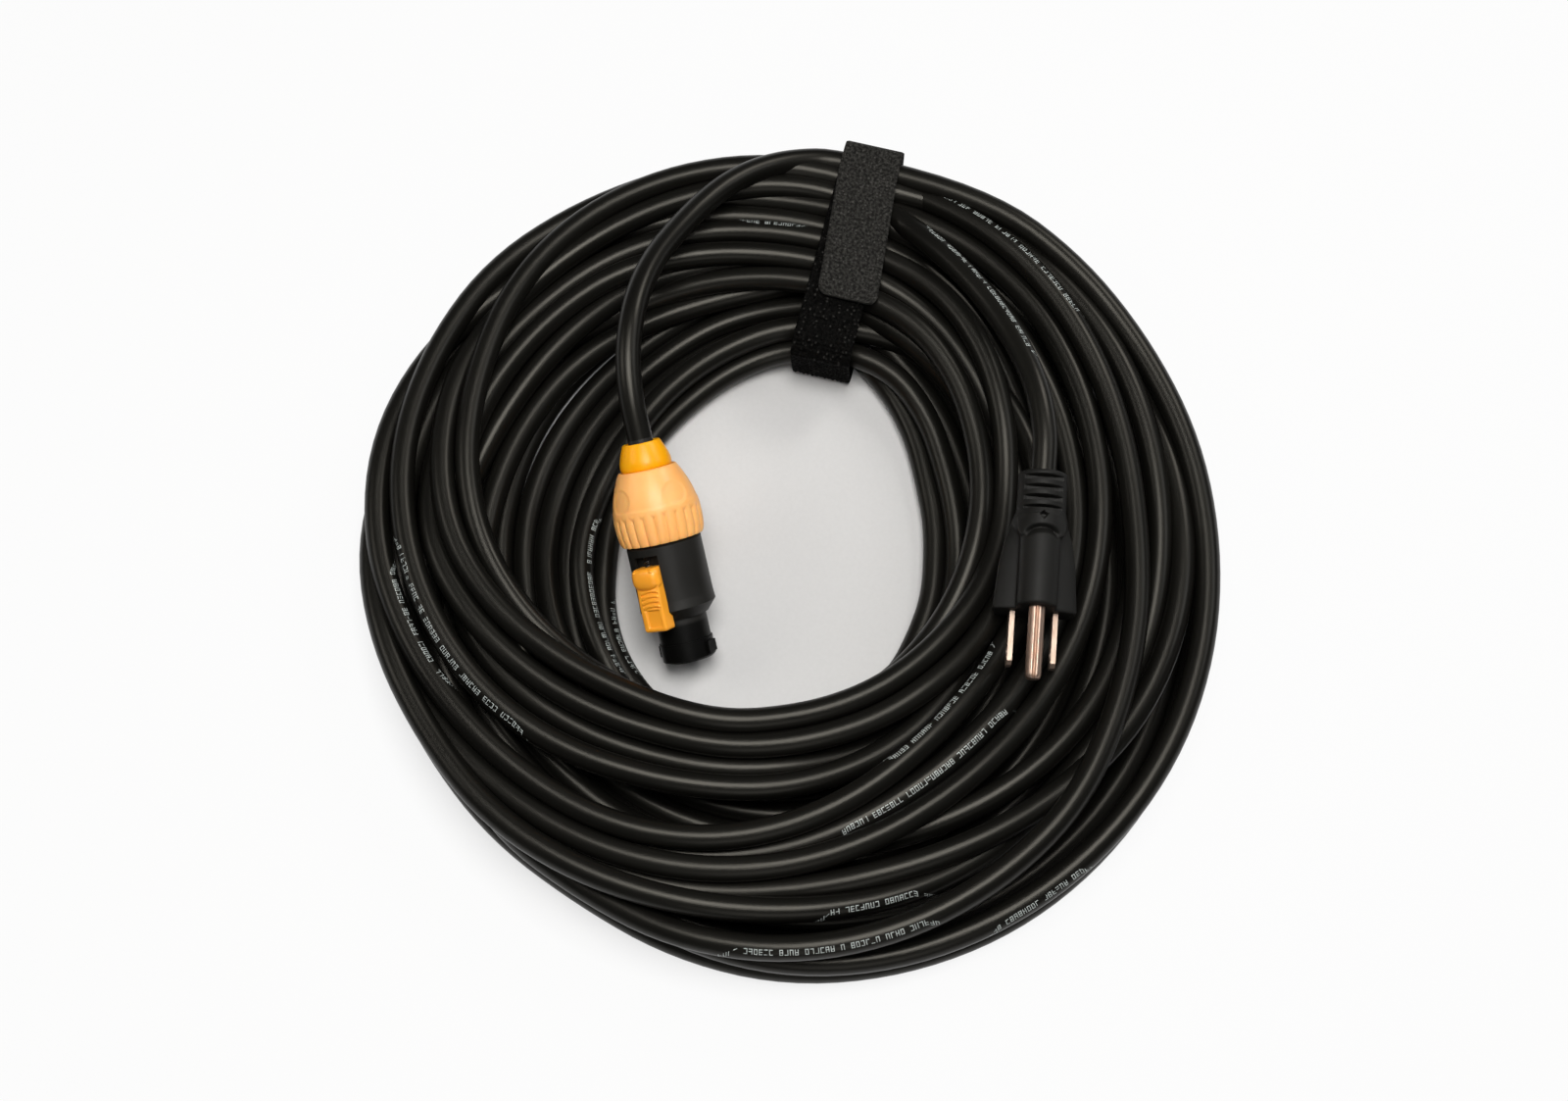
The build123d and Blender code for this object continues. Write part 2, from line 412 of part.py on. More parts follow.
# ---------------------------------------------------------------- files
free = {"cable_coil": coil, "connector_lead": connector_lead, "plug_lead": plug_lead}
strap = {"strap_band": strap_band, "strap_tab": strap_tab}
connector = {
    "connector_housing": housing, "nut_oring": nut_oring, "contact_insert": contact_insert,
    "contact_live": contacts[0], "contact_neutral": contacts[1], "contact_earth": contacts[2],
    "terminal_screws": terminal_screws, "connector_core_live": connector_cores[0],
    "connector_core_neutral": connector_cores[1], "connector_core_earth": connector_cores[2],
    "clamp_collet": clamp_collet, "gland_seal": gland_seal, "tail_collar": tail_collar, "rear_nut": rear_nut,
    "latch": latch, "latch_spring": latch_spring, "connector_cable_end": connector_cable_end}
plug = {
    "plug_body": plug_body, "plug_inner_block": inner_block, "blade_neutral": blades[0],
    "blade_live": blades[1], "earth_pin": earth_pin, "plug_crimps": crimps,
    "plug_core_neutral": plug_cores[0], "plug_core_live": plug_cores[1], "plug_core_earth": plug_cores[2],
    "plug_cable_end": plug_cable_end}
groups = ((Location(), free), (strap_frame, strap), (connector_frame, connector), (plug_frame, plug))
for frame, group in groups:
    for name, shape in group.items():
        export_step(home * frame * shape, f"parts/{name}.step")
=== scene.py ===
"""Coiled power link cable: 15.24 m of cable with a locking connector, a moulded mains plug and a strap.

Run as a script in Blender 4.5. Every new piece is a surface worked out with numpy in the row frame.
"""

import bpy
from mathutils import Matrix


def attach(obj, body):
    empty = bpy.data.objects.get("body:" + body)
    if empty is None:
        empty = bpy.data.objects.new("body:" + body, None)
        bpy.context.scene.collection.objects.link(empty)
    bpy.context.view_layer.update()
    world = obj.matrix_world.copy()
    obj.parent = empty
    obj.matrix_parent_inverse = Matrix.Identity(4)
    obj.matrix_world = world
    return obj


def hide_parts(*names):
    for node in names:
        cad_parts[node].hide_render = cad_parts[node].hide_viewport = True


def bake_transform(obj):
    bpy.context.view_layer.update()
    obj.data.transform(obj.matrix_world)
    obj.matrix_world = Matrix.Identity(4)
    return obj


bl_info = {
    "name": "Coiled Power Link Cable",
    "version": (1, 0, 0),
    "blender": (4, 5, 0),
    "location": "View3D > Sidebar > Power Cable",
    "description": "Builds the coiled cable, its connector, plug and strap around the packed frame",
    "category": "Add Mesh",
}

import bpy
import numpy as np
from mathutils import Vector

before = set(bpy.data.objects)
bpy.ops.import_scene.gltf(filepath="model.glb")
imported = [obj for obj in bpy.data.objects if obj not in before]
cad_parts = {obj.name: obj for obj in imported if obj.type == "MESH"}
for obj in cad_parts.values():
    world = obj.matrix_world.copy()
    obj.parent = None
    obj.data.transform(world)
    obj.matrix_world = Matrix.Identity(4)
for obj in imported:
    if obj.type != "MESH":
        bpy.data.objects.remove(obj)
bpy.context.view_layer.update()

MM = 0.001
CENTRE = np.array([-0.0007, -0.0029, 0.0])        # the coil's winding centre in the row frame


def unit(v):
    """Each vector divided by its own length."""
    v = np.asarray(v, float)
    return v / np.maximum(np.linalg.norm(v, axis=-1, keepdims=True), 1e-12)


def own_frame(start, end, turn=0.0):
    """Origin and X, Y, Z rows of a piece that runs from start to end.

    Both are in millimetres from the winding centre. Z runs from start to end, and X is what of straight up is
    square to Z, leaned by turn degrees towards -X.
    """
    z = unit(np.subtract(end, start))
    up = unit(np.array([0, 0, 1.0]) - z * z[2])
    left = np.cross(up, z)
    left = left if left[0] < 0 else -left
    x = up * np.cos(np.radians(turn)) + left * np.sin(np.radians(turn))
    return np.array(start) * MM + CENTRE, x, np.cross(z, x), z


# X out through the latch, Z to the nose
CONNECTOR = own_frame((-42.6, 24.0, 38.0), (-28.4, -33.0, 7.5), 38.0)
# X up, Y to the left, Z to the blades
PLUG = own_frame((76.7, 13.2, 41.5), (73.2, -27.6, 36.4))
STRAP_IN, STRAP_OUT = np.array([12.1, 64.3, 0.0]), np.array([28.9, 131.1, 0.0])
STRAP_WAY = unit(STRAP_OUT - STRAP_IN)
# X outwards over the coil, Y up, Z across
STRAP = (STRAP_IN * MM + CENTRE, STRAP_WAY, np.array([0, 0, 1.0]), np.cross(STRAP_WAY, [0, 0, 1.0]))
CONNECTOR_TAIL, CONNECTOR_WAY = CONNECTOR[0], CONNECTOR[3]
PLUG_TAIL, PLUG_WAY = PLUG[0], PLUG[3]


# -------- settings


def metres(name, text, default, low, high):
    """A length setting in metres, from low to high."""
    return bpy.props.FloatProperty(
        name=name, description=text, default=default, min=low, max=high, unit="LENGTH")


def tint(name, text, *default):
    """A colour setting."""
    return bpy.props.FloatVectorProperty(
        name=name, description=text, default=default, size=3, min=0, max=1, subtype="COLOR")


class CableSettings(bpy.types.PropertyGroup):
    """Sizes and colours of the cable."""

    length: metres("Length", "Length of the cable between the connector and the plug", 15.24, 5.0, 60.0)
    diameter: metres("Diameter", "Diameter of the round jacket", 0.0076, 0.004, 0.02)
    sides: bpy.props.IntProperty(
        name="Sides", description="Points round the jacket", default=20, min=8, max=24)
    jacket_colour: tint("Jacket colour", "Colour of the jacket", 0.0040, 0.0038, 0.0032)
    print_colour: tint("Print colour", "Colour of the plain marks printed along the jacket", 0.42, 0.46, 0.45)


class StrapSettings(bpy.types.PropertyGroup):
    """Sizes and colours of the hook-and-loop strap."""

    width: metres("Width", "Width of the strap", 0.019, 0.008, 0.05)
    thickness: metres("Thickness", "Thickness of one layer without its hooks", 0.0013, 0.0005, 0.003)
    tab_length: metres("Tab length", "Length of the loose tab from its root", 0.046, 0.02, 0.055)
    hook_colour: tint("Hook colour", "Colour of the hooked side", 0.0016, 0.0015, 0.0013)
    loop_colour: tint("Loop colour", "Colour of the felted side", 0.0175, 0.0170, 0.0155)


class ConnectorSettings(bpy.types.PropertyGroup):
    """Grip and colours of the locking connector."""

    flutes: bpy.props.IntProperty(
        name="Flutes", description="Grip lobes round the rear nut", default=24, min=8, max=48)
    thumb_turn: bpy.props.FloatProperty(
        name="Thumb hollows", description="Where the four thumb hollows stand, as a share of a quarter turn",
        default=0.275, min=0, max=1)
    # from here on the nose's finish is darker, smoother and less shiny
    nose_from: metres("Nose from", "Distance along the connector to its polished nose", 0.0545, 0, 0.1)
    nut_colour: tint("Nut colour", "Colour of the rear nut", 0.97, 0.47, 0.145)
    collar_colour: tint("Collar colour", "Colour of the tail collar", 0.88, 0.375, 0.001)
    latch_colour: tint("Latch colour", "Colour of the latch", 0.95, 0.375, 0.026)


class PlugSettings(bpy.types.PropertyGroup):
    """Colour of the moulded plug and place of its earth pin."""

    body_colour: tint("Body colour", "Colour of the moulded vinyl", 0.0060, 0.0058, 0.0050)
    earth_height: metres("Earth pin height", "Height of the earth pin over the cable's axis", 0.0054, 0, 0.01)


class StageSettings(bpy.types.PropertyGroup):
    """Floor and camera."""

    floor_colour: tint("Floor colour", "Colour of the pale floor", 0.575, 0.574, 0.577)
    floor_width: metres("Floor width", "Width of the floor", 6.0, 1, 20)
    lens: bpy.props.FloatProperty(
        name="Lens", description="Focal length of the camera in millimetres", default=50.0, min=20, max=200)


# -------- lines


def eased(value, low, high):
    """0 up to low, 1 from high, and 3 s^2 - 2 s^3 between them."""
    s = np.clip((np.asarray(value, float) - low) / (high - low), 0, 1)
    return s * s * (3 - 2 * s)


def arch(x):
    """The half circle's height sqrt(1 - x^2), and 0 beyond it."""
    return np.sqrt(np.clip(1 - x**2, 0, 1))


def quarter(steps):
    """Angles over a quarter turn."""
    return np.linspace(0, np.pi / 2, steps)


def angles(sides):
    """Angles round a full turn, as a row."""
    return np.linspace(0, 2 * np.pi, sides + 1)[None, :-1]


def stations(*runs):
    """The runs' values in order, each once, as a column."""
    return np.unique(np.concatenate(runs))[:, None]


def travelled(points):
    """The length along a line from its start to each of its points."""
    return np.concatenate([[0], np.cumsum(np.linalg.norm(np.diff(points, axis=0), axis=1))])


def picked(points, along, at):
    """The places of a line at the lengths at, where along holds its points' own lengths."""
    return np.stack([np.interp(at, along, points[:, k]) for k in range(points.shape[1])], -1)


def filled(points, step):
    """A closed outline with places added so that no two neighbours are further apart than about step."""
    p = np.vstack([points, points[:1]])
    along = travelled(p)
    at = np.unique(np.round(np.concatenate([along[:-1], np.arange(0, along[-1], step)]), 5))
    return picked(p, along, at[np.concatenate([[True], np.diff(at) > step * 0.25])])


def soft_loop(points, soft, steps=4):
    """A closed outline with its corners softened.

    Each corner p becomes (1-t)^2 a + 2 t (1-t) p + t^2 b, where a and b lie soft, or 0.49 of the run if that
    is less, before and after it.
    """
    p = np.asarray(points, float)
    back, on = np.roll(p, 1, 0) - p, np.roll(p, -1, 0) - p
    a, b = (p + unit(v) * np.minimum(soft, 0.49 * np.linalg.norm(v, axis=1, keepdims=True))
            for v in (back, on))
    t = np.linspace(0, 1, steps + 1)[None, :, None]
    bends = (1 - t) ** 2 * a[:, None] + 2 * t * (1 - t) * p[:, None] + t**2 * b[:, None]
    return bends.reshape(-1, p.shape[1])


def arc_run(middle, start, end, radius, steps=9):
    """The arc middle + radius (cos a, sin a), with a from start to end degrees."""
    a = np.radians(np.linspace(start, end, steps))
    return np.asarray(middle, float) + radius * np.stack([np.cos(a), np.sin(a)], -1)


def smooth_row(values, steps):
    """A smooth line through the values, or rows of them, with steps places between each two and no last one.

    Between p1 and p2 it is half of
    2 p1 + (p2 - p0) f + (2 p0 - 5 p1 + 4 p2 - p3) f^2 + (3 p1 - p0 - 3 p2 + p3) f^3.
    """
    t = np.arange((len(values) - 1) * steps) / steps
    i = t.astype(int)
    f = (t - i).reshape(-1, *[1] * (values.ndim - 1))
    p0, p1, p2, p3 = (values[np.clip(i + k, 0, len(values) - 1)] for k in (-1, 0, 1, 2))
    square, cube = 2 * p0 - 5 * p1 + 4 * p2 - p3, 3 * p1 - p0 - 3 * p2 + p3
    return 0.5 * (2 * p1 + (p2 - p0) * f + square * f**2 + cube * f**3)


def smooth_profile(points, steps=6):
    """A smooth line of (radius, height) through the points, the last point kept."""
    points = np.array(points)
    return np.vstack([smooth_row(points, steps), points[-1:]])


# -------- surfaces


def surface(name, points, wrap_u=False, wrap_v=False, caps=False, uv=None):
    """A grid of points (along u, along v) as one mesh object whose faces point outwards.

    Face (i, j) joins grid points (i, j), (i+1, j), (i+1, j+1) and (i, j+1), with the last row or column
    joined to the first where that way wraps. caps close both ends of u with one face each, and uv holds each
    UV map's corners by its name. The faces are turned over where the sum of p0 . (p1 x p2) over their halves
    is negative.
    """
    points = np.asarray(points, float)
    n, m = points.shape[:2]
    i, j = np.meshgrid(np.arange(n if wrap_u else n - 1), np.arange(m if wrap_v else m - 1), indexing="ij")
    a, b = i * m + j, ((i + 1) % n) * m + j
    c, d = ((i + 1) % n) * m + (j + 1) % m, i * m + (j + 1) % m
    quads = np.stack([a, b, c, d], -1).reshape(-1, 4)
    flat = points.reshape(-1, 3)
    q = flat[quads] - flat.mean(0)
    over = (q[:, 0] * np.cross(q[:, 1], q[:, 2])).sum() + (q[:, 0] * np.cross(q[:, 2], q[:, 3])).sum() < 0
    turn = -1 if over else 1
    ends = np.stack([np.arange(m), n * m - 1 - np.arange(m)])
    mesh = bpy.data.meshes.new(name)
    faces = quads[:, ::turn].tolist() + (ends[:, ::turn].tolist() if caps else [])
    mesh.from_pydata(flat.tolist(), [], faces, shade_flat=False)
    for title, values in (uv or {}).items():
        corner = np.zeros((len(mesh.loops), 2), np.float32)
        corner[: len(quads) * 4] = values.reshape(-1, 4, 2)[:, ::turn].reshape(-1, 2)
        mesh.uv_layers.new(name=title).data.foreach_set("uv", corner.ravel())
    mesh.validate()
    piece = bpy.data.objects.new(name, mesh)
    bpy.context.scene.collection.objects.link(piece)
    return piece


def corners_uv(along, across):
    """UV of each face's four corners, from the grid lines' places along and across."""
    a0, b0 = np.meshgrid(along[:-1], across[:-1], indexing="ij")
    a1, b1 = np.meshgrid(along[1:], across[1:], indexing="ij")
    return np.stack([np.stack(p, -1) for p in ((a0, b0), (a1, b0), (a1, b1), (a0, b1))], -2)


def place(x, y, z, at):
    """Places in millimetres along a piece's own axes, spread to one shape and moved to the row frame."""
    local = np.stack(np.broadcast_arrays(x, y, z), -1) * MM
    origin, x, y, z = at
    return origin + local[..., :1] * x + local[..., 1:2] * y + local[..., 2:3] * z


def turned(name, outline, at, sides, change=None):
    """A closed ring turned about its own Z: the point at angle t is (r + change) (cos t, sin t), h.

    outline is a closed loop of (radius, height) in millimetres, and change(r, h, t) is how far the surface
    stands off that radius.
    """
    t = np.arange(sides) * 2 * np.pi / sides
    r, h, t = np.broadcast_arrays(outline[:, :1], outline[:, 1:2], t[None])
    if change is not None:
        r = r + change(r, h, t)
    return surface(name, place(r * np.cos(t), r * np.sin(t), h, at), wrap_u=True, wrap_v=True)


def dress(piece, material, body=None):
    """The piece takes its material and, where one is given, the body that it moves with.
    """
    piece.data.materials.append(material)
    if body is not None:
        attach(piece, body)


# -------- finishes


class Nodes:
    """The node tree of a material or world, with short calls to add a node and join it to others."""

    def __init__(self, owner):
        """owner is a material or world that is there already, or a new material's name."""
        self.owner = bpy.data.materials.new(owner) if isinstance(owner, str) else owner
        self.owner.use_nodes = True
        self.tree = self.owner.node_tree
        self.shader = self.tree.nodes.get("Principled BSDF")

    def add(self, kind, inputs=(), **settings):
        """One node. inputs are (socket, value or output to join) pairs."""
        node = self.tree.nodes.new(kind)
        for key, value in settings.items():
            setattr(node, key, value)
        for key, value in inputs:
            self.join(value, node.inputs[key])
        return node

    def join(self, value, socket):
        """Links an output to the socket, or sets the socket's own value. A colour of three gets its alpha."""
        if isinstance(value, bpy.types.NodeSocket):
            self.tree.links.new(value, socket)
        elif socket.type == "RGBA" and len(value) == 3:
            socket.default_value = (*value, 1)
        else:
            socket.default_value = value

    def math(self, operation, *values):
        return self.add("ShaderNodeMath", list(enumerate(values)), operation=operation).outputs[0]

    def times(self, *values):
        return self.math("MULTIPLY", *values)

    def vector(self, operation, first, second, out="Vector"):
        node = self.add("ShaderNodeVectorMath", [(0, first), (1, second)], operation=operation)
        return node.outputs[out]

    def place(self, scale=(1, 1, 1), uv=None):
        """Object coordinates, or a UV map's, stretched by scale."""
        if uv:
            source = self.add("ShaderNodeUVMap", uv_map=uv).outputs["UV"]
        else:
            source = self.add("ShaderNodeTexCoord").outputs["Object"]
        return self.add("ShaderNodeMapping", [("Vector", source), ("Scale", scale)]).outputs["Vector"]

    def noise(self, vector, scale, detail=2.0, roughness=0.5):
        sockets = [("Vector", vector), ("Scale", scale), ("Detail", detail), ("Roughness", roughness)]
        return self.add("ShaderNodeTexNoise", sockets).outputs["Fac"]

    def spread(self, value, low, high, start=0.0, end=1.0):
        """value, from low to high, spread over start to end and held there."""
        names = ("Value", "From Min", "From Max", "To Min", "To Max")
        return self.add("ShaderNodeMapRange", zip(names, (value, low, high, start, end))).outputs["Result"]

    def blend(self, factor, first, second):
        """From the first colour to the second as factor goes from 0 to 1."""
        node = self.add("ShaderNodeMix", data_type="RGBA")
        for socket, value in ((0, factor), (6, first), (7, second)):
            self.join(value, node.inputs[socket])
        return node.outputs[2]

    def bump(self, height, distance, strength=1.0, under=None):
        sockets = [("Height", height), ("Distance", distance), ("Strength", strength)]
        node = self.add("ShaderNodeBump", sockets)
        if under is not None:
            self.join(under, node.inputs["Normal"])
        return node.outputs["Normal"]

    def finish(self, colour, roughness, normal, **values):
        """Joins what varies to the shader, and sets what doesn't on its own sockets."""
        for key, value in (("Base Color", colour), ("Roughness", roughness), ("Normal", normal)):
            self.join(value, self.shader.inputs[key])
        for key, value in values.items():
            self.shader.inputs[key.replace("_", " ").title().replace("Ior", "IOR")].default_value = value
        return self.owner


def shade(colour, factor):
    """The colour made lighter or darker by factor, held at 1."""
    return tuple(min(1.0, c * factor) for c in colour)


PALE_DUST_AND_GLINT = (0.16, 0.155, 0.145)        # the pale grey of dust and lint, also used for the painted glints on the strap


def moulded(name, colour, rough=0.4, grain=2600.0, depth=0.00004, vary=0.12, scuff=0.05, **values):
    """Moulded plastic: cloudy colour, fine spark grain, soft flow marks and faint pale scuffs."""
    n = Nodes(name)
    at = n.place()
    cloud = n.noise(at, 70.0, 3.0)
    fine = n.noise(at, grain, 2.0, 0.6)
    rub = n.spread(n.noise(n.place((1.0, 1.0, 3.0)), 420.0, 4.0, 0.7), 0.62, 0.78)
    base = n.blend(n.spread(cloud, 0.3, 0.7), shade(colour, 1 - vary), shade(colour, 1 + vary))
    base = n.blend(n.times(rub, scuff), base, shade(tuple(c + 0.08 for c in colour), 1.25))
    gloss = n.math("ADD", n.spread(cloud, 0.3, 0.7, rough - 0.04, rough + 0.05), n.times(rub, 0.08))
    return n.finish(base, gloss, n.bump(fine, depth, 0.5), **values)


def darker_nose(finish, start):
    """Makes a finish nearly black, smoother and less shiny from start millimetres along the connector, on its
    nose.

    The share is the distance along the connector's axis, from object coordinates, spread over a millimetre.
    """
    n = Nodes(finish)
    far = n.vector("DOT_PRODUCT", n.vector("SUBTRACT", n.place(), CONNECTOR_TAIL), CONNECTOR_WAY, "Value")
    share = n.spread(far, (start - 0.5) * MM, (start + 0.5) * MM)
    base, rough, shine = (n.shader.inputs[key] for key in ("Base Color", "Roughness", "Specular IOR Level"))
    n.join(n.blend(share, base.links[0].from_socket, (0.0022, 0.0022, 0.0020)), base)
    n.join(n.math("SUBTRACT", rough.links[0].from_socket, n.times(share, 0.10)), rough)
    n.join(n.spread(share, 0.0, 1.0, 0.32, 0.14), shine)


def metal(name, colour, rough=0.25, way=(1, 1, 1), scale=900.0, tarnish=(0.5, 0.3, 0.2)):
    """Plated metal: fine draw lines along one way, cloudy tarnish and small scratches."""
    n = Nodes(name)
    lines = n.noise(n.place(way), scale, 3.0, 0.6)
    cloud = n.noise(n.place(), 160.0, 4.0, 0.6)
    base = n.blend(n.spread(cloud, 0.45, 0.75, 0.0, 0.45), colour, tarnish)
    gloss = n.spread(lines, 0.3, 0.7, rough - 0.06, rough + 0.1)
    return n.finish(base, gloss, n.bump(lines, 0.00002, 0.4), metallic=1.0)


def jacket(name, colour, ink):
    """Extruded cable jacket: satin vinyl with fine draw lines, dull patches, and plain marks printed on it.

    The first UV map holds metres along and turns round. The second holds metres along and metres off the
    print line.
    """
    n = Nodes(name)
    drawn = n.noise(n.place((70.0, 26.0, 1.0), "UVMap"), 1.0, 3.0, 0.55)
    grain = n.noise(n.place(), 2100.0, 2.0, 0.6)
    cloud = n.noise(n.place((9.0, 2.0, 1.0), "UVMap"), 1.0, 3.0, 0.6)
    dust = n.spread(n.noise(n.place(), 900.0, 4.0, 0.75), 0.66, 0.8)
    base = n.blend(n.spread(cloud, 0.3, 0.7), shade(colour, 0.85), shade(colour, 1.3))
    base = n.blend(n.times(dust, 0.06), base, PALE_DUST_AND_GLINT)
    # the marks: cells 1.42 mm long and 1.75 mm high, each with up to five short bars like a counting display
    ruler = n.add("ShaderNodeSeparateXYZ", [("Vector", n.place(uv="Print"))]).outputs
    cell = n.math("DIVIDE", ruler["X"], 0.00142)
    number = n.math("FLOOR", cell)
    x = n.math("SUBTRACT", cell, number)
    y = n.math("ADD", n.math("DIVIDE", ruler["Y"], 0.00175), 0.5)

    def chance(offset, size=1.0):
        """A random value for each run of size cells."""
        seat = n.math("ADD", n.math("FLOOR", n.math("DIVIDE", number, size)), offset)
        return n.add("ShaderNodeTexWhiteNoise", [("W", seat)], noise_dimensions="1D").outputs["Value"]

    lit, level = 0.0, (x, 0.4, 0.36)
    for offset, left_out, strokes in (
        (11.5, 0.25, [(x, 0.11, 0.075)]), (57.5, 0.35, [(x, 0.66, 0.075)]),
        (93.5, 0.3, [(y, 0.92, 0.07), level]), (131.5, 0.45, [(y, 0.50, 0.065), level]),
        (177.5, 0.35, [(y, 0.08, 0.07), level]),
    ):
        bar = n.math("GREATER_THAN", chance(offset), left_out)
        for stroke in strokes:
            bar = n.times(bar, n.math("COMPARE", *stroke))
        lit = n.math("MAXIMUM", lit, bar)
    # two cells in seven, moved on by up to two at random, are left bare between words
    shifted = n.math("ADD", number, n.math("FLOOR", n.times(chance(7.5, 9.0), 3.0)))
    word = n.math("GREATER_THAN", n.math("FRACT", n.times(shifted, 0.1428571)), 0.16)
    worn = n.spread(n.noise(n.place(), 1500.0, 3.0, 0.7), 0.3, 0.5, 0.45, 1.0)
    for share in (n.math("COMPARE", y, 0.5, 0.5), word, worn):
        lit = n.times(lit, share)
    base = n.blend(lit, base, ink)
    rough = n.math("ADD", n.spread(cloud, 0.3, 0.7, 0.29, 0.38), n.times(dust, 0.2))
    bumps = n.bump(drawn, 0.00006, 0.5, n.bump(grain, 0.00002, 0.35))
    return n.finish(base, rough, bumps, specular_ior_level=0.24, specular_tint=(1.0, 0.96, 0.86, 1.0))


def webbing(name, colour, rough, bumps, depth, speck, sheen=0.0):
    """Woven strap: a fine weave across and along it, a felted or hooked nap painted lighter where it stands
    up and darker in its hollows, and pale specks on its bump tops, which are painted glints and partly lint.

    The UV map holds metres along and across the strap.
    """
    n = Nodes(name)
    at = n.place(uv="UVMap")
    nap = n.noise(at, bumps, 2.0, 0.55)
    cell = n.add("ShaderNodeTexVoronoi", [("Vector", at), ("Scale", bumps * 0.8), ("Randomness", 0.6)])
    cloud = n.noise(at, 110.0, 3.0)
    # the nap's tone follows its bump height: painted light on the raised nap and painted shade in its
    # hollows, over the fibres' own mottling
    base = n.blend(n.spread(nap, 0.40, 0.62), shade(colour, 0.45), shade(colour, 1.9))
    base = n.blend(n.spread(cloud, 0.35, 0.7, 0.0, 0.35), base, shade(colour, 0.5))
    away = cell.outputs["Distance"]
    # pale specks on the tops of the bumps: painted glints of the hooks, and partly lint on the felt
    glint_and_lint = n.times(n.spread(away, 0.34, 0.12), n.spread(n.noise(at, bumps * 0.45, 2.0), 0.28, 0.50))
    base = n.blend(n.times(glint_and_lint, speck), base, PALE_DUST_AND_GLINT)
    height = n.math("SUBTRACT", nap, n.times(away, 0.8))
    return n.finish(
        base, rough, n.bump(height, depth, 1.0),
        specular_ior_level=0.06, sheen_weight=sheen, sheen_roughness=0.5)


# -------- cable

STATIONS = 72             # places settled on each turn, 5 degrees apart
STRAP_ANGLE = 348.5       # degrees round the coil where the strap ties it
WIDER = 1.0086            # what the settled turns are widened by
# the edges of the hole and of the coil every 30 degrees from +Y towards -X, in millimetres
HOLE = (66, 57, 51.5, 51, 56, 59, 52, 49, 44, 42.5, 46.5, 62)
OUTER = (133, 131, 131, 128.3, 122, 121, 129, 132, 132, 130, 130, 133)
# one row a turn: its radii in millimetres at the same places, and how high it lies there, 0 to 9
TOP_TURNS = (
    ((122.8, 119.5, 115, 101, 75.5, 60.5, 55, 54.2, 56.5, 65.3, 77, 98), "788999888999"),
    ((106, 112, 110.5, 107, 85.5, 68.3, 62.4, 62, 65, 70, 76, 89), "776788887556"),
    ((95, 103.5, 105.5, 104, 91, 75.5, 70, 67, 68, 75, 85, 103.5), "677676754346"),
    ((113, 123, 128, 125.5, 108.5, 101.5, 89.3, 75.5, 72, 78, 82, 90), "645678898643"),
    ((97, 98, 98, 106, 111, 104.5, 93.5, 84, 82.5, 88, 95.5, 108), "566444688675"),
    ((118, 126, 128, 127.5, 117.5, 110, 99.8, 91, 90.2, 94.8, 104, 119), "654557888887"),
    ((126, 122, 120, 119.5, 113.5, 120.8, 124, 120, 111.7, 104.3, 111.3, 125), "554656899999"),
    ((131, 129.5, 126, 114, 100, 83, 74.5, 70.3, 66.3, 68, 73, 80), "667888766544"),
)
LAST_TURNS = (
    ((88, 92, 91, 92, 97, 97, 92, 97, 105.3, 107.5, 116, 124), "444433577675"),
    ((127, 125, 121.5, 118, 118, 113.3, 105.8, 108.8, 116, 122, 122.5, 127), "333447788866"),
    ((130, 128, 127.5, 126.5, 121, 115.2, 110.5, 110.5, 109.5, 114.5, 120, 130), "444568876788"),
    ((129, 124.5, 109.5, 92, 72, 60, 57, 53, 52.5, 59.5, 67.7, 85), "899865466778"),
    ((90, 96, 102, 108, 112, 117, 126, 129, 130.5, 127.5, 127.5, 131), "555555667778"),
)
# the turns underneath: how far out from the hole's edge, 0 to 1, and how high
UNDER_TURNS = (
    (0.25, 3), (0.08, 3), (0, 0), (0.17, 0), (0.36, 0), (0.5, 0), (0.67, 0), (0.83, 0), (1, 0), (0.92, 3),
    (0.75, 3), (0.58, 3),
)
# the two ends that leave the coil, in millimetres from the winding centre, each from its fitting inwards
CONNECTOR_LEAD = (
    (-45.7, 36.5, 44.7), (-46.8, 49.0, 48.2), (-45.7, 61.5, 49.2), (-43.2, 73.6, 47.0), (-39.1, 85.0, 43.2),
    (-33.5, 95.7, 38.6), (-26.8, 106.4, 34.2), (-18.5, 116.4, 30.6), (-8.6, 124.2, 27.0), (3.2, 129.2, 23.6),
    (17.5, 130.9, 21.0),
)
PLUG_LEAD = (
    (77.8, 26.05, 43.1), (76.0, 41.0, 42.4), (71.6, 55.6, 39.2), (65.0, 69.8, 35.8), (56.8, 83.2, 32.6),
    (47.4, 96.0, 28.2), (38.2, 107.6, 21.8), (26.0, 116.2, 19.6),
)
# where the printed marks face up: turn counted from the plug, degrees from, degrees to, and their angle from
# straight up in degrees (+ is inwards)
PRINTED = (
    (-1, 300, 341, -32), (0, 352, 372, -30), (3, 90, 120, 40), (3, 199, 246, 35), (4, 185, 235, -20),
    (6, 168, 205, -30), (6, 304, 342, -28), (7, 86, 133, -35), (21, 167, 178, -30), (22, 181, 205, -30),
    (20, 204, 212, -30), (24, 203, 226, -40), (9, 75, 133, 45), (10, 100, 135, 45),
)


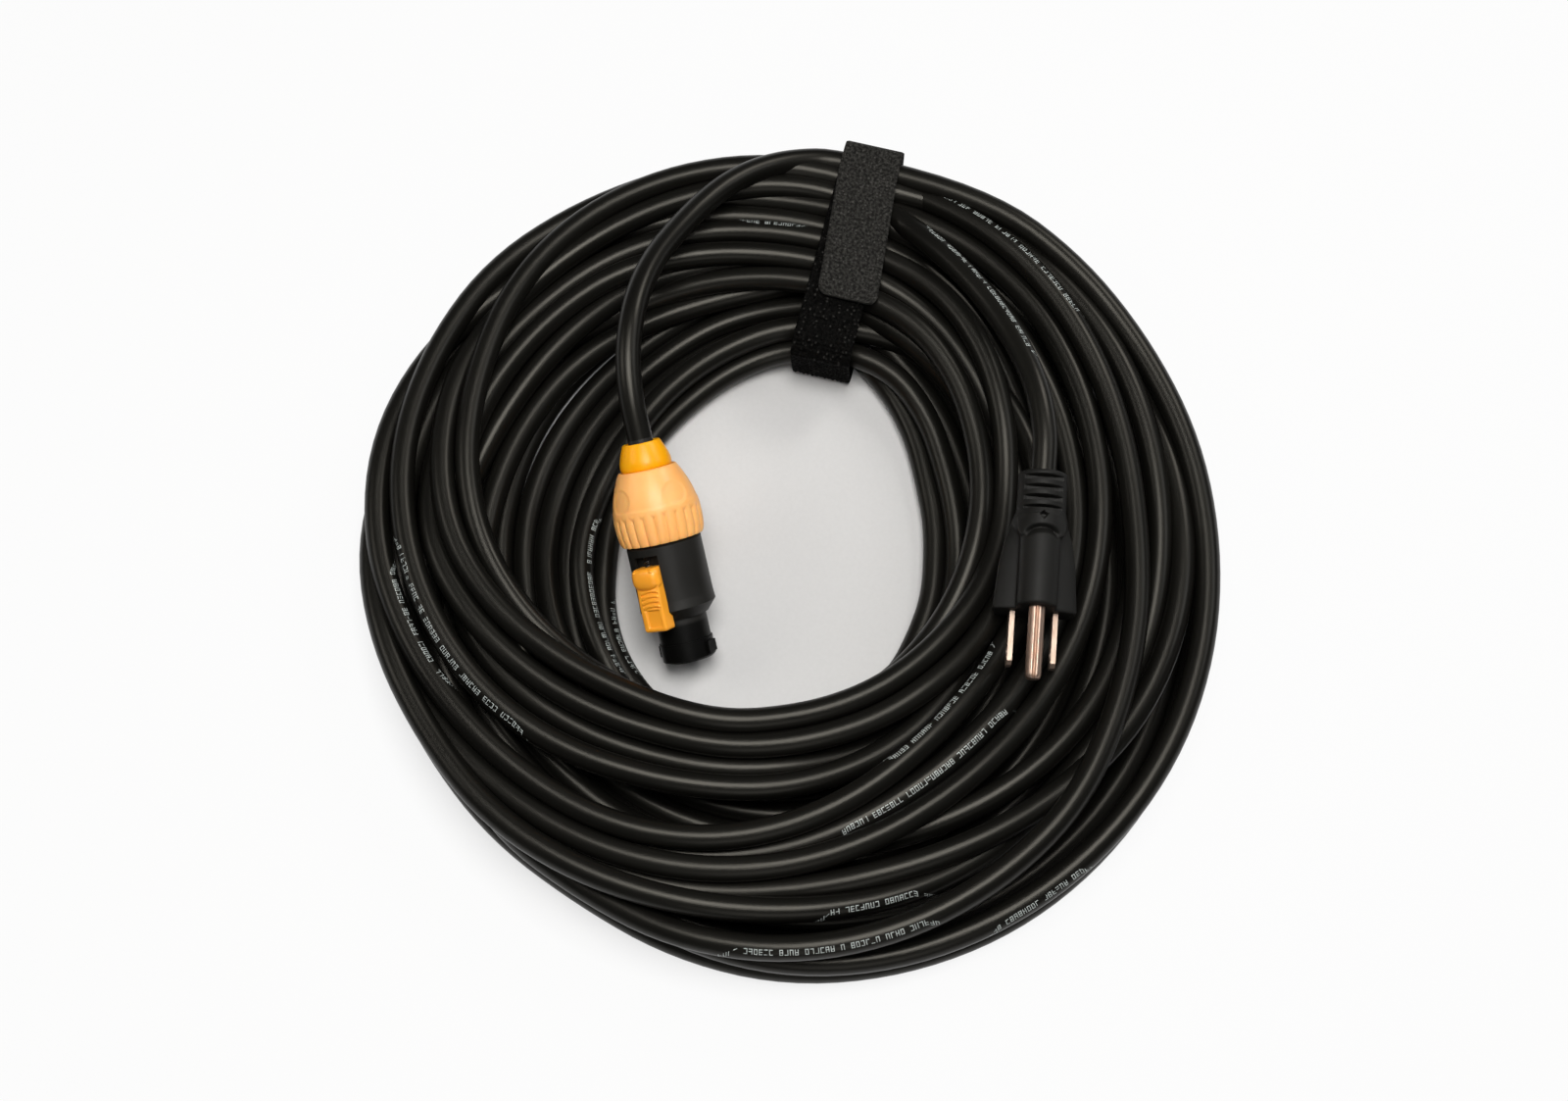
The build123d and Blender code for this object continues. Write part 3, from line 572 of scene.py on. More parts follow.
def settled_turns(radius, rounds=400):
    """The radius and height of every turn at every station, once the turns have pushed apart and sunk.

    Each round lowers every point, draws it towards the mean of its neighbours along the cable and its wanted
    radius, draws the turns on top towards their height, and moves two points of one station that are nearer
    than a diameter apart by a quarter of what is missing. Radii stay between the hole's and the outer edge,
    heights between the floor and a ceiling. Turns that cross can stay nearer than a diameter.
    """
    rng = np.random.default_rng(4)
    inner, outer = np.array(HOLE) * MM + radius, np.array(OUTER) * MM - radius
    top, last = ([(np.array(row) * MM, [int(c) for c in heights]) for row, heights in turns]
                 for turns in (TOP_TURNS, LAST_TURNS))
    under = [(inner + share * (outer - inner) + rng.normal(0, 0.0012, 12), [height] * 12)
             for share, height in UNDER_TURNS]
    rows, levels = zip(*top, *under, *last)
    turns, per = len(rows), STATIONS // 12
    # the last turn ends 130 mm out at level 8, where the connector's lead takes over; a level is 2.3 mm high
    # at first, and 2.4 mm high where a turn on top is drawn to it
    wanted = smooth_row(np.append(np.concatenate(rows), 0.130), per)
    level = np.clip(smooth_row(np.append(np.concatenate(levels), 8.0), per), 0, 9)
    r, z = wanted.copy(), radius + 0.0023 * level
    upper, rest = np.clip(level - 6, 0, 1), radius + 0.0024 * level

    # the room at each angle: narrower and lower under the strap, and low under the plug
    angle = np.arange(STATIONS) * 360.0 / STATIONS
    at = np.arange(13) * 30.0
    strapped = np.clip(1 - np.abs(angle - STRAP_ANGLE) / 14, 0, 1)
    low = np.interp(angle, at, np.append(inner, inner[0]))
    strap_edge, tied = 0.0692, np.clip(strapped * 2, 0, 1)
    low = np.tile(np.maximum(low, low + (strap_edge - low) * tied), turns)
    high = np.tile(np.interp(angle, at, np.append(outer, outer[0])) + 0.0015 - 0.0015 * strapped, turns)
    floor = np.tile(radius + 0.0018 * tied, turns)
    beside = np.clip(np.abs(angle - STRAP_ANGLE + 360 * (angle < 170)) - 8, 0, 9)
    ceiling = np.minimum(0.0205 + 0.0018 * np.clip(level - 6, 0, 3), np.tile(0.0203 + 0.0012 * beside, turns))
    under_plug = np.tile((angle >= 240) & (angle <= 290), turns)

    first, second = np.triu_indices(turns, 1)
    for done in range(rounds):
        z -= 0.00012 if done < rounds * 0.8 else 0.00003
        for _ in range(2):
            z[1:-1] += 0.30 * (0.5 * (z[:-2] + z[2:]) - z[1:-1])
            r[1:-1] += 0.15 * (0.5 * (r[:-2] + r[2:]) - r[1:-1])
        r += 0.06 * (wanted - r)
        z += 0.05 * upper * (rest - z)
        ring, rise = r.reshape(turns, STATIONS), z.reshape(turns, STATIONS)
        out, up = ring[first] - ring[second], rise[first] - rise[second]
        apart = np.sqrt(out**2 + up**2) + 1e-9
        push = np.clip(2 * radius - apart, 0, None) / apart * 0.25
        for held, way in ((ring, out), (rise, up)):
            np.add.at(held, first, push * way)
            np.add.at(held, second, -push * way)
        r = np.clip(r, low, high)
        z = np.clip(z, floor, np.where(under_plug & (r > 0.062) & (r < 0.094), 0.0195, ceiling))
    return r, z


def route_points(radius):
    """The cable's route from the connector to the plug: its lead, the settled turns, and the plug's lead.

    A turn's point at angle t lies at (-r sin t, r cos t, z) from the winding centre, every 15 degrees.
    """
    r, z = settled_turns(radius)
    t = np.radians(np.arange(len(r)) * 360.0 / STATIONS)
    coil = np.stack([-r * WIDER * np.sin(t), r * WIDER * np.cos(t), z], -1)[: len(r) - 4 : 3]
    leads = np.array(CONNECTOR_LEAD) * MM, np.array(PLUG_LEAD[::-1]) * MM
    inside = np.concatenate([leads[0], coil[::-1], leads[1]]) + CENTRE
    straight = 0.002          # each end runs straight into its fitting
    return np.concatenate([
        [CONNECTOR_TAIL, CONNECTOR_TAIL - straight * CONNECTOR_WAY], inside,
        [PLUG_TAIL - straight * PLUG_WAY, PLUG_TAIL]])


def spline_line(points, steps):
    """The points of the NURBS spline that has the route's points as its control points."""
    curve = bpy.data.curves.new("cable_route", "CURVE")
    curve.dimensions = "3D"
    curve.resolution_u = steps
    spline = curve.splines.new("NURBS")
    spline.points.add(len(points) - 1)
    weighted = np.column_stack([points, np.ones(len(points))])
    spline.points.foreach_set("co", weighted.astype(np.float32).ravel())
    spline.order_u = 3
    spline.use_endpoint_u = True
    holder = bpy.data.objects.new("cable_route", curve)
    mesh = bpy.data.meshes.new_from_object(holder)
    line = np.zeros(len(mesh.vertices) * 3, np.float32)
    mesh.vertices.foreach_get("co", line)
    bpy.data.meshes.remove(mesh)
    bpy.data.objects.remove(holder)
    bpy.data.curves.remove(curve)
    line = line.reshape(-1, 3).astype(float)
    keep = np.concatenate([[True], np.linalg.norm(np.diff(line, axis=0), axis=1) > 1e-6])
    return line[keep]


def print_angle(line):
    """The angle round the jacket, from straight up, of the printed marks at each point of the line.

    They lie underneath except at the places in PRINTED, and pass from one to the other by 3 s^2 - 2 s^3.
    """
    flat = line - CENTRE
    turn = np.degrees(np.unwrap(np.arctan2(-flat[:, 0], flat[:, 1])))
    turn = turn - turn[-1] + (np.degrees(np.arctan2(-flat[-1, 0], flat[-1, 1])) % 360.0 - 360.0)
    angle = np.full(len(line), 180.0)
    for number, start, end, lean in PRINTED:
        start, end = number * 360 + start, number * 360 + end
        inside = np.clip((turn - start) / 6.0, 0, 1) * np.clip((end - turn) / 6.0, 0, 1)
        goal = lean if lean >= 0 else 360.0 + lean
        angle = angle + (goal - 180.0) * (inside**2 * (3 - 2 * inside))
    return np.radians(angle)


class POWERCABLE_OT_cord(bpy.types.Operator):
    """Winds the cable from the connector through the coil to the plug"""

    bl_idname = "power_cable.cord"
    bl_label = "Cable"

    def execute(self, context):
        s = context.scene.cable_settings
        radius = s.diameter / 2
        line = spline_line(route_points(radius), 6)
        along = travelled(line)
        # round each point, from its upper side: side = way x up, top = side x way
        way = unit(np.gradient(line, axis=0))
        side = unit(np.cross(way, [0, 0, 1.0]))
        top = np.cross(side, way)
        turns = np.linspace(0, 1, s.sides + 1)
        t = turns[:-1] * 2 * np.pi
        ring = top[:, None] * np.cos(t)[None, :, None] + side[:, None] * np.sin(t)[None, :, None]
        # metres off the print line: the corner's own angle less the print's, wrapped once a face so that no
        # face crosses the back
        mark = print_angle(line)
        base = (t[None, :] - mark[:-1, None] + np.pi) % (2 * np.pi) - np.pi
        step, twist = 2 * np.pi / s.sides, np.diff(mark)[:, None]
        off = np.stack([base, base - twist, base - twist + step, base + step], -1) * radius
        far = corners_uv(along, turns)
        marks = np.stack([far[..., 0], off], -1)
        skin = line[:, None] + ring * radius
        cable = surface("power_cable", skin, wrap_v=True, caps=True, uv={"UVMap": far, "Print": marks})
        vinyl = jacket("satin_jacket", tuple(s.jacket_colour), tuple(s.print_colour))
        dress(cable, vinyl, "cable")
        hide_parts("cable_coil", "connector_lead", "plug_lead")
        return {"FINISHED"}


# -------- strap


def strap_sweep(name, path, half, thick, closed=False, step=0.35, nap=None, askew=0.0):
    """A flat strap carried along a path given as (outwards, up) in millimetres in the strap's frame.

    Its section is a flat loop, half wide each way and thick through, with each edge rounded by three points.
    nap(s, w) lifts the outer face by a hook's height there, and askew slides the section across by that share
    of the way from the path's outer end.
    """
    flow = (np.roll(path, -1, 0) - np.roll(path, 1, 0)) if closed else np.gradient(path, axis=0)
    way = unit(flow)
    out = np.stack([-way[:, 1], way[:, 0]], -1)
    along = travelled(np.vstack([path, path[:1]]) if closed else path)
    across = np.linspace(-1, 1, int(2 * np.max(half) / step) + 1)[1:-1]
    edge, bend, flat = np.array([0.995, 1.0, 0.995]), np.array([0.6, 0.0, -0.6]), np.ones(len(across))
    wide = np.concatenate([across * 0.985, edge, -across * 0.985, -edge])[None]
    tall = np.concatenate([flat, bend, -flat, bend[::-1]])[None]
    off = tall * thick / 2
    side = wide * np.broadcast_to(half, len(path))[:, None]
    if nap is not None:
        off = off + np.where(tall > 0.9, nap(along[: len(path), None] + 0 * side, side), 0)
    slid = side + askew * (path[:, :1] - path[:, 0].max())
    points = place(path[:, :1] + out[:, :1] * off, path[:, 1:] + out[:, 1:] * off, slid, STRAP)
    uv = corners_uv(along * MM, np.arange(1, side.shape[1] + 2) * step * MM)
    return surface(name, points, wrap_u=closed, wrap_v=True, caps=not closed, uv={"UVMap": uv})


def hooks(pitch, height, seed):
    """Rows of small hooks: a bump of height (1 - d)^2 in each cell of the strap.

    d is the square of the distance from the cell's middle, which is moved a little at random, over 0.22
    square pitches. Every other row is half a cell over.
    """
    luck = np.random.default_rng(seed).random((64, 64, 3))

    def lift(s, w):
        row = np.floor(s / pitch).astype(int)
        shifted = w / pitch + 0.5 * (row % 2)
        col = np.floor(shifted).astype(int)
        bit = luck[row % 64, col % 64]
        ds = s / pitch - row - 0.5 + 0.3 * (bit[..., 0] - 0.5)
        dw = shifted - col - 0.5 + 0.3 * (bit[..., 1] - 0.5)
        d = np.clip((ds**2 + dw**2) / 0.22, 0, 1)
        return height * (0.45 + 0.55 * bit[..., 2]) * (1 - d) ** 2

    return lift


class POWERCABLE_OT_strap(bpy.types.Operator):
    """Ties the coil with the strap: its hooked band, the layer folded over the edge and the loose tab"""

    bl_idname = "power_cable.strap"
    bl_label = "Strap"

    def execute(self, context):
        s = context.scene.strap_settings
        wide, thick = s.width / MM / 2, s.thickness / MM
        layer = thick * 0.9           # the felted layer's thickness
        root, level = 60.9, 26.75     # where the tab starts along the strap, and its height
        # the pale specks on the hooked side are painted glints of its hooks; on the felt they are partly lint
        hooked = webbing("strap_hooks", tuple(s.hook_colour), 0.75, 880.0, 0.0010, 0.17)
        felt = webbing("strap_felt", tuple(s.loop_colour), 0.85, 1050.0, 0.0004, 0.24, 0.02)
        # the band round the bundle, laid close to it: x outwards, y up, a little wavy on top
        band = filled(np.concatenate([
            arc_run((1.4, 19.6), 180, 90, 2.4 + 2.8), arc_run((65.4, 20.2), 90, 0, 4.6),
            arc_run((67.6, 3.2), 0, -90, 2.4), arc_run((1.4, 3.2), -90, -180, 2.4)]), 0.35)
        band[:, 1] += np.where(band[:, 1] > 20, 0.22 * np.sin(band[:, 0] * 0.82) - 0.2, 0)
        loop = strap_sweep("strap_hook_band", band, wide, thick, closed=True, nap=hooks(1.35, 0.6, 2))
        dress(loop, hooked, "cable")
        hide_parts("strap_band")

        # the layer that lies on the band from the tab's root over the outer edge and down
        fold = np.concatenate([[[root, level]], arc_run((67.2, 22.4), 90, 0, 4.35, 13), [[71.55, 2.2]]])
        along = travelled(fold)
        fold = picked(fold, along, np.arange(0, along[-1], 0.5))
        dress(strap_sweep("strap_fold", fold, wide, layer, step=0.6), felt, "cable")

        # the tab, from its root inwards, with round corners and a slightly lifted end
        length, corner = s.tab_length / MM, 3.0
        straight = length - corner
        gone = np.concatenate([np.arange(0, straight, 0.5), straight + corner * np.sin(quarter(9))])
        left = length - gone
        narrow = wide - corner + np.sqrt(np.clip(corner**2 - (corner - left) ** 2, 0, None))
        width = np.where(left < corner, narrow, wide)
        lift = level + 0.16 * np.sin(gone * 0.5) * eased(gone, 2, 8) + 0.55 * eased(gone, length - 16, length)
        path = np.stack([root - gone, lift], -1)[::-1]
        tab = strap_sweep("strap_loose_tab", path, width[::-1], layer, step=0.6, askew=-0.085)
        dress(tab, felt)
        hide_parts("strap_tab")
        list(place([root - 1.5, root - 4.5], level, 0, STRAP))
        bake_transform(tab)
        return {"FINISHED"}


# -------- connector


class POWERCABLE_OT_connector(bpy.types.Operator):
    """Makes the connector's rear nut, tail collar and latch over the carried-over housing"""

    bl_idname = "power_cable.connector"
    bl_label = "Connector"

    def execute(self, context):
        s = context.scene.connector_settings
        skin = {"subsurface_radius": (1.0, 0.45, 0.15), "subsurface_scale": 0.0012}
        nut = moulded(
            "peach_nylon", tuple(s.nut_colour), 0.40, vary=0.035, scuff=0.03, subsurface_weight=0.25, **skin)
        amber = moulded(
            "amber_nylon", tuple(s.collar_colour), 0.33, vary=0.04, scuff=0.01, specular_ior_level=0.3,
            subsurface_weight=0.2, **skin)
        orange = moulded(
            "latch_nylon", tuple(s.latch_colour), 0.36, vary=0.05, scuff=0.03, subsurface_weight=0.12, **skin)

        # the nut: a bell, straight-sided behind its widest, bored in steps for the collet and the thread
        bell = smooth_profile([
            (8.5, 7.0), (9.0, 7.35), (10.05, 9.4), (11.3, 12.3), (12.3, 15.4), (12.9, 18.5), (13.15, 21.5),
            (13.1, 24.6), (12.8, 27.2), (12.35, 28.7), (11.9, 29.0)])
        bore = soft_loop([
            (11.2, 29.0), (10.46, 28.6), (10.46, 16.5), (7.36, 16.5), (7.36, 12.4), (7.1, 10.2), (7.1, 9.8),
            (7.4, 9.8), (7.4, 7.3), (8.3, 6.9)], 0.15, 2)
        grip_start, hollow_at, hollow_across, hollow_along = 18.4, 14.9, 4.3, 3.6

        def grip(r, h, t):
            """Lobes |sin| round the front, cut 0.85 mm deep, and four shallow round thumb hollows behind."""
            outer = (r > 8.2 + 1.2 * eased(h, 8, 12)) & (r > 10.6 * eased(h, 9.5, 13.5))
            lobe = np.abs(np.sin(t * s.flutes / 2))
            start = grip_start + 1.3 * (1 - lobe)
            fine = -0.85 * eased(h, start, start + 1.6) * (1 - lobe**0.42)
            raised = 0.16 * eased(h, grip_start - 0.8, grip_start)
            turn = (t * 4 / (2 * np.pi) + s.thumb_turn) % 1.0 - 0.5
            d = (turn * 2 * np.pi / 4 * 12.4 / hollow_across) ** 2 + ((h - hollow_at) / hollow_along) ** 2
            thumb = -0.20 * (1 - eased(d, 0.6, 1.15)) - 0.22 * np.clip(1 - d, 0, 1)
            return np.where(outer, fine + raised + thumb, 0)

        shell = turned("rear_grip_nut", filled(np.vstack([bell, bore]), 0.35), CONNECTOR, 384, grip)
        dress(shell, nut, "nut")
        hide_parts("rear_nut")

        # the collar: a thin rim, a cone that swells into a dome, and the seat inside the nut
        dome = smooth_profile([
            (5.35, -1.0), (5.75, -0.85), (6.35, 0.5), (7.1, 2.4), (7.65, 4.2), (7.85, 5.6), (7.75, 6.6),
            (7.4, 7.2)])
        seat = soft_loop([(7.38, 7.4), (7.38, 9.8), (4.6, 9.8), (4.6, 2.2), (5.0, -0.7)], 0.2, 3)
        collar = turned("tail_collar_ring", filled(np.vstack([dome, seat]), 0.3), CONNECTOR, 128)
        dress(collar, amber, "nut")
        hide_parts("tail_collar")

        # the latch: a bar with round edges, a thumb swell at its rear, ridges and a bare recessed panel
        first, last, soft, floor = 35.15, 54.4, 0.9, 8.75
        cap = soft * (1 - np.cos(quarter(9)))
        z = stations(first + cap, np.arange(first + soft, last - soft, 0.12), last - cap)
        a = angles(240)
        y, x = (np.sign(v) * np.abs(v) ** 0.28 for v in (np.cos(a), np.sin(a)))
        end = arch(1 - np.clip(np.minimum(z - first, last - z) / soft, 0, 1))
        swell = (1 - eased(z, 39.6, 41.4)) * eased(z, first, first + 1.6)
        top = 13.6 + 0.35 * eased(z, 41.5, 46) - 0.75 * (1 - end)
        height = floor + (x + 1) / 2 * (top - floor)
        # the swell is only above the housing, so that the bar has room to slide
        y = y * (4.1 - 0.7 * (1 - end) + 0.6 * swell * eased(height, 11.1, 12.0))
        pad = np.sqrt(np.clip(1 - ((z - 38.2) / 3.3) ** 2 - (y / 5.4) ** 2, 0, 1))
        ears = 0.5 * np.exp(-(((np.abs(y) - 3.4) / 0.7) ** 4)) * (1 - eased(z, first + 0.8, first + 1.3))
        ridges = 0
        for at in (41.9, 43.4, 44.9, 46.3):
            d = z - at - 0.06 * (y + 1.2) ** 2
            wave = 0.30 * np.exp(-((d / 0.42) ** 2)) - 0.34 * np.exp(-(((d - 0.62) / 0.26) ** 2))
            ridges = ridges + wave * eased(2.7 - y, 0, 0.5) * eased(y + 3.6, 0, 0.3)
        panel = -0.55 * eased(2.6 - np.abs(y + 0.4), 0, 0.3) * (eased(z, 47.6, 47.9) - eased(z, 52.9, 53.2))
        crown = -0.12 * (y / 4.1) ** 2
        x = height + (ridges + panel + crown + ears + 1.5 * pad) * np.clip((x - 0.8) / 0.2, 0, 1)
        bar = surface("latch_bar", place(x, y, z, CONNECTOR), wrap_v=True, caps=True)
        dress(bar, orange, "latch")
        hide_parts("latch")
        return {"FINISHED"}


# -------- plug

PLUG_METAL = ((1, 0.05, 1), 2600.0)       # the way and scale of the draw lines on the blades and the pin


class POWERCABLE_OT_plug(bpy.types.Operator):
    """Makes the plug's moulded body and folded earth pin beside the carried-over blades"""

    bl_idname = "power_cable.plug"
    bl_label = "Plug"

    def execute(self, context):
        s = context.scene.plug_settings
        pins = metal("folded_pin", (0.40, 0.29, 0.23), 0.38, *PLUG_METAL, (0.62, 0.36, 0.24))
        vinyl = moulded(
            "plug_vinyl", tuple(s.body_colour), 0.56, grain=3400.0, depth=0.00006, scuff=0.03,
            specular_ior_level=0.2)
        # the body: along each ray from its own middle line, 2 mm under the cable's axis, the furthest of the
        # relief's round, the neck, the wings and the barrel, drawn together by a high mean that rounds their
        # joints
        under, length = 2, 41
        z = stations(np.round(np.concatenate([
            1.1 * (1 - np.cos(quarter(7))), np.arange(1.1, 13, 0.14), np.arange(13, 24, 0.22),
            np.arange(24, 40, 0.6), length - (1 - np.sin(quarter(7)))]), 4))
        t = angles(288)
        c, d = np.cos(t), np.sin(t)          # d up, c across
        wide = np.interp(z, [10.5, 13.0, 20.0, 27.06, length], [6.6, 7.6, 9.9, 11.2, 12.3])

        def unequal(above, below, power):
            """A rounded box, half wide each way, with its own height and squareness above and below."""
            tall, power = np.where(d > 0, above, below), np.where(d > 0, power, 5.0)
            return (np.abs(c / wide) ** power + np.abs(d / tall) ** power) ** (-1 / power)

        # the relief: round, with four windows across it above and below, and a rail left at each side
        full = under * d + np.sqrt(7.3**2 - 4 * c**2)
        relief = full * (1 - 0.10 * (1 - arch(1 - np.clip(z / 1.1, 0, 1))))
        cut = np.max([1 - eased(np.abs(z - (rib + 0.75) * 3.125), 0.55, 0.85) for rib in range(4)], axis=0)
        floors = np.where(d > 0, (4.3 + under) / np.maximum(d, 1e-6), (4.6 - under) / np.maximum(-d, 1e-6))
        reach = eased(5.9 - np.abs(full * c), 0, 0.5) * (np.abs(full * d - under) > 3.0)
        relief = relief + (np.minimum(relief, floors) - relief) * cut * reach
        relief = np.where(z > 12.7, 0.01, relief)
        # the neck, which ends in an arch over the barrel, and the wings
        grow = eased(z, 11.0, 16.5)
        slant = np.abs(c) / np.maximum(d, 0.05)
        lip = 17.3 + 3.6 * (1 - arch(2.0 * c / np.maximum(d, 0.2))) - 7.0 * eased(slant, 0.42, 1.2)
        faded = 1 - eased(z, lip, lip + 0.7 + 12.0 * eased(slant, 0.45, 0.9))
        neck = unequal(11.2 + 1.0 * grow, 5.3 + 2.5 * grow, 2.3) * faded * eased(z, 11.3, 12.3)
        wings = unequal(3.6, 10.3 * eased(z, 9.5, 15) + 0.01, 1.5) * eased(z, 11.2, 12.4)
        # the barrel round the earth pin: flat sides and a round top
        tall, thick = 5.2 + under, 5.8 * eased(z, 14.0, 14.2)
        side = thick / np.maximum(np.abs(c), 1e-6)
        dome = tall * d + np.sqrt(np.clip(thick**2 - tall**2 * c**2, 0, None))
        barrel = np.where(side * d <= tall, side, dome) * (d > -0.05) * (z > 14.05)
        parts = np.clip(np.stack(np.broadcast_arrays(relief, neck, wings, barrel)), 0.01, None)
        furthest = parts.max(0)
        r = furthest * ((parts / furthest) ** 26).sum(0) ** (1 / 26)
        # the barrel is scooped out under the neck's arch, the front edge is round, and the neck has a pit
        scoop = eased(z, lip + 0.2, lip + 0.9) * (1 - eased(z, lip + 1.0, lip + 3.4))
        r = r - 1.8 * scoop * (1 - eased(slant, 0.30, 0.48)) * (d > 0)
        r = r - 0.7 * (1 - arch(np.clip((z - 40.2) / 0.8, 0, 1)))
        up, across = r * d - under, r * c
        pit = np.abs(across) / 1.35 + np.abs(z - 14.6) / 1.5
        up = up - 2.2 * (1 - eased(pit, 0.7, 1.0)) * (up > 0)
        body = surface("moulded_plug_body", place(up, across, z, PLUG), wrap_v=True, caps=True)
        dress(body, vinyl, "cable")
        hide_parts("plug_body")

        # the pin is rolled from sheet: round, with the seam open along its upper side, and a domed tip
        end, tip = 60.8, 1.6
        z = stations([25.1], np.linspace(40.8, 60.6, 60), end + tip * np.sin(quarter(12)))
        t = angles(96)
        r = (2.36 - 0.85 * (1 - arch(np.clip(z - end, 0, tip) / tip))) * np.where(z < 40.9, 0.88, 1.0)
        away = (t + np.pi) % (2 * np.pi) - np.pi
        r = r - 0.75 * np.exp(-((away / 0.20) ** 2)) * eased(z, 40.5, 41.2)
        points = place(s.earth_height / MM + r * np.cos(t), r * np.sin(t), z, PLUG)
        pin = surface("folded_earth_pin", points, wrap_v=True, caps=True)
        dress(pin, pins, "cable")
        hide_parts("earth_pin")
        return {"FINISHED"}


# -------- carried-over parts


class POWERCABLE_OT_carried(bpy.types.Operator):
    """Gives every part carried over from the frame its own finish"""

    bl_idname = "power_cable.carried"
    bl_label = "Carried-over parts"

    def execute(self, context):
        black = moulded("black_nylon", (0.0085, 0.0080, 0.0068), 0.46, scuff=0.04, specular_ior_level=0.32)
        wanted = {
            black: "connector_housing",
            moulded("black_block", (0.0075, 0.0075, 0.0070), 0.44): "plug_inner_block",
            moulded("plug_vinyl_core", (0.005, 0.005, 0.0045), 0.5): "plug_body",
            moulded("grey_nylon", (0.16, 0.16, 0.155), 0.5): "contact_insert clamp_collet",
            moulded("orange_core", (0.93, 0.40, 0.10), 0.38, vary=0.05, scuff=0.03):
                "rear_nut tail_collar latch",
            moulded("seal_rubber", (0.02, 0.02, 0.02), 0.6, grain=1800.0): "nut_oring gland_seal",
            moulded("jacket_end", (0.0115, 0.0112, 0.0105), 0.4): "connector_cable_end plug_cable_end",
            moulded("core_brown", (0.10, 0.035, 0.012), 0.4): "connector_core_live plug_core_live",
            moulded("core_white", (0.72, 0.71, 0.67), 0.4, vary=0.04):
                "connector_core_neutral plug_core_neutral",
            moulded("core_green", (0.02, 0.22, 0.05), 0.4): "connector_core_earth plug_core_earth",
            webbing("strap_plain", (0.012, 0.012, 0.012), 0.8, 1500.0, 0.0002, 0.1): "strap_band strap_tab",
            metal("pin_nickel", (0.34, 0.265, 0.215), 0.47, *PLUG_METAL, (0.28, 0.16, 0.11)):
                "blade_neutral blade_live earth_pin",
            metal("contact_brass", (0.80, 0.58, 0.30), 0.28, (1, 1, 0.1), 2200.0, (0.5, 0.3, 0.12)):
                "contact_live contact_neutral contact_earth plug_crimps",
            metal("black_oxide_steel", (0.10, 0.10, 0.105), 0.36, (1, 1, 1), 2400.0, (0.06, 0.055, 0.05)):
                "terminal_screws latch_spring",
        }
        # the housing's nose is made darker, smoother and less shiny
        darker_nose(black, context.scene.connector_settings.nose_from / MM)
        for finish, names in wanted.items():
            for name in names.split():
                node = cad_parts[name]
                node.data.materials.clear()
                node.data.materials.append(finish)
        return {"FINISHED"}


# -------- stage


def aimed(name, data, at, target):
    """A light or camera at a place, turned to look at its target."""
    holder = bpy.data.objects.new(name, data)
    bpy.context.scene.collection.objects.link(holder)
    holder.location = at
    holder.rotation_euler = (Vector(target) - Vector(at)).to_track_quat("-Z", "Y").to_euler()
    return holder


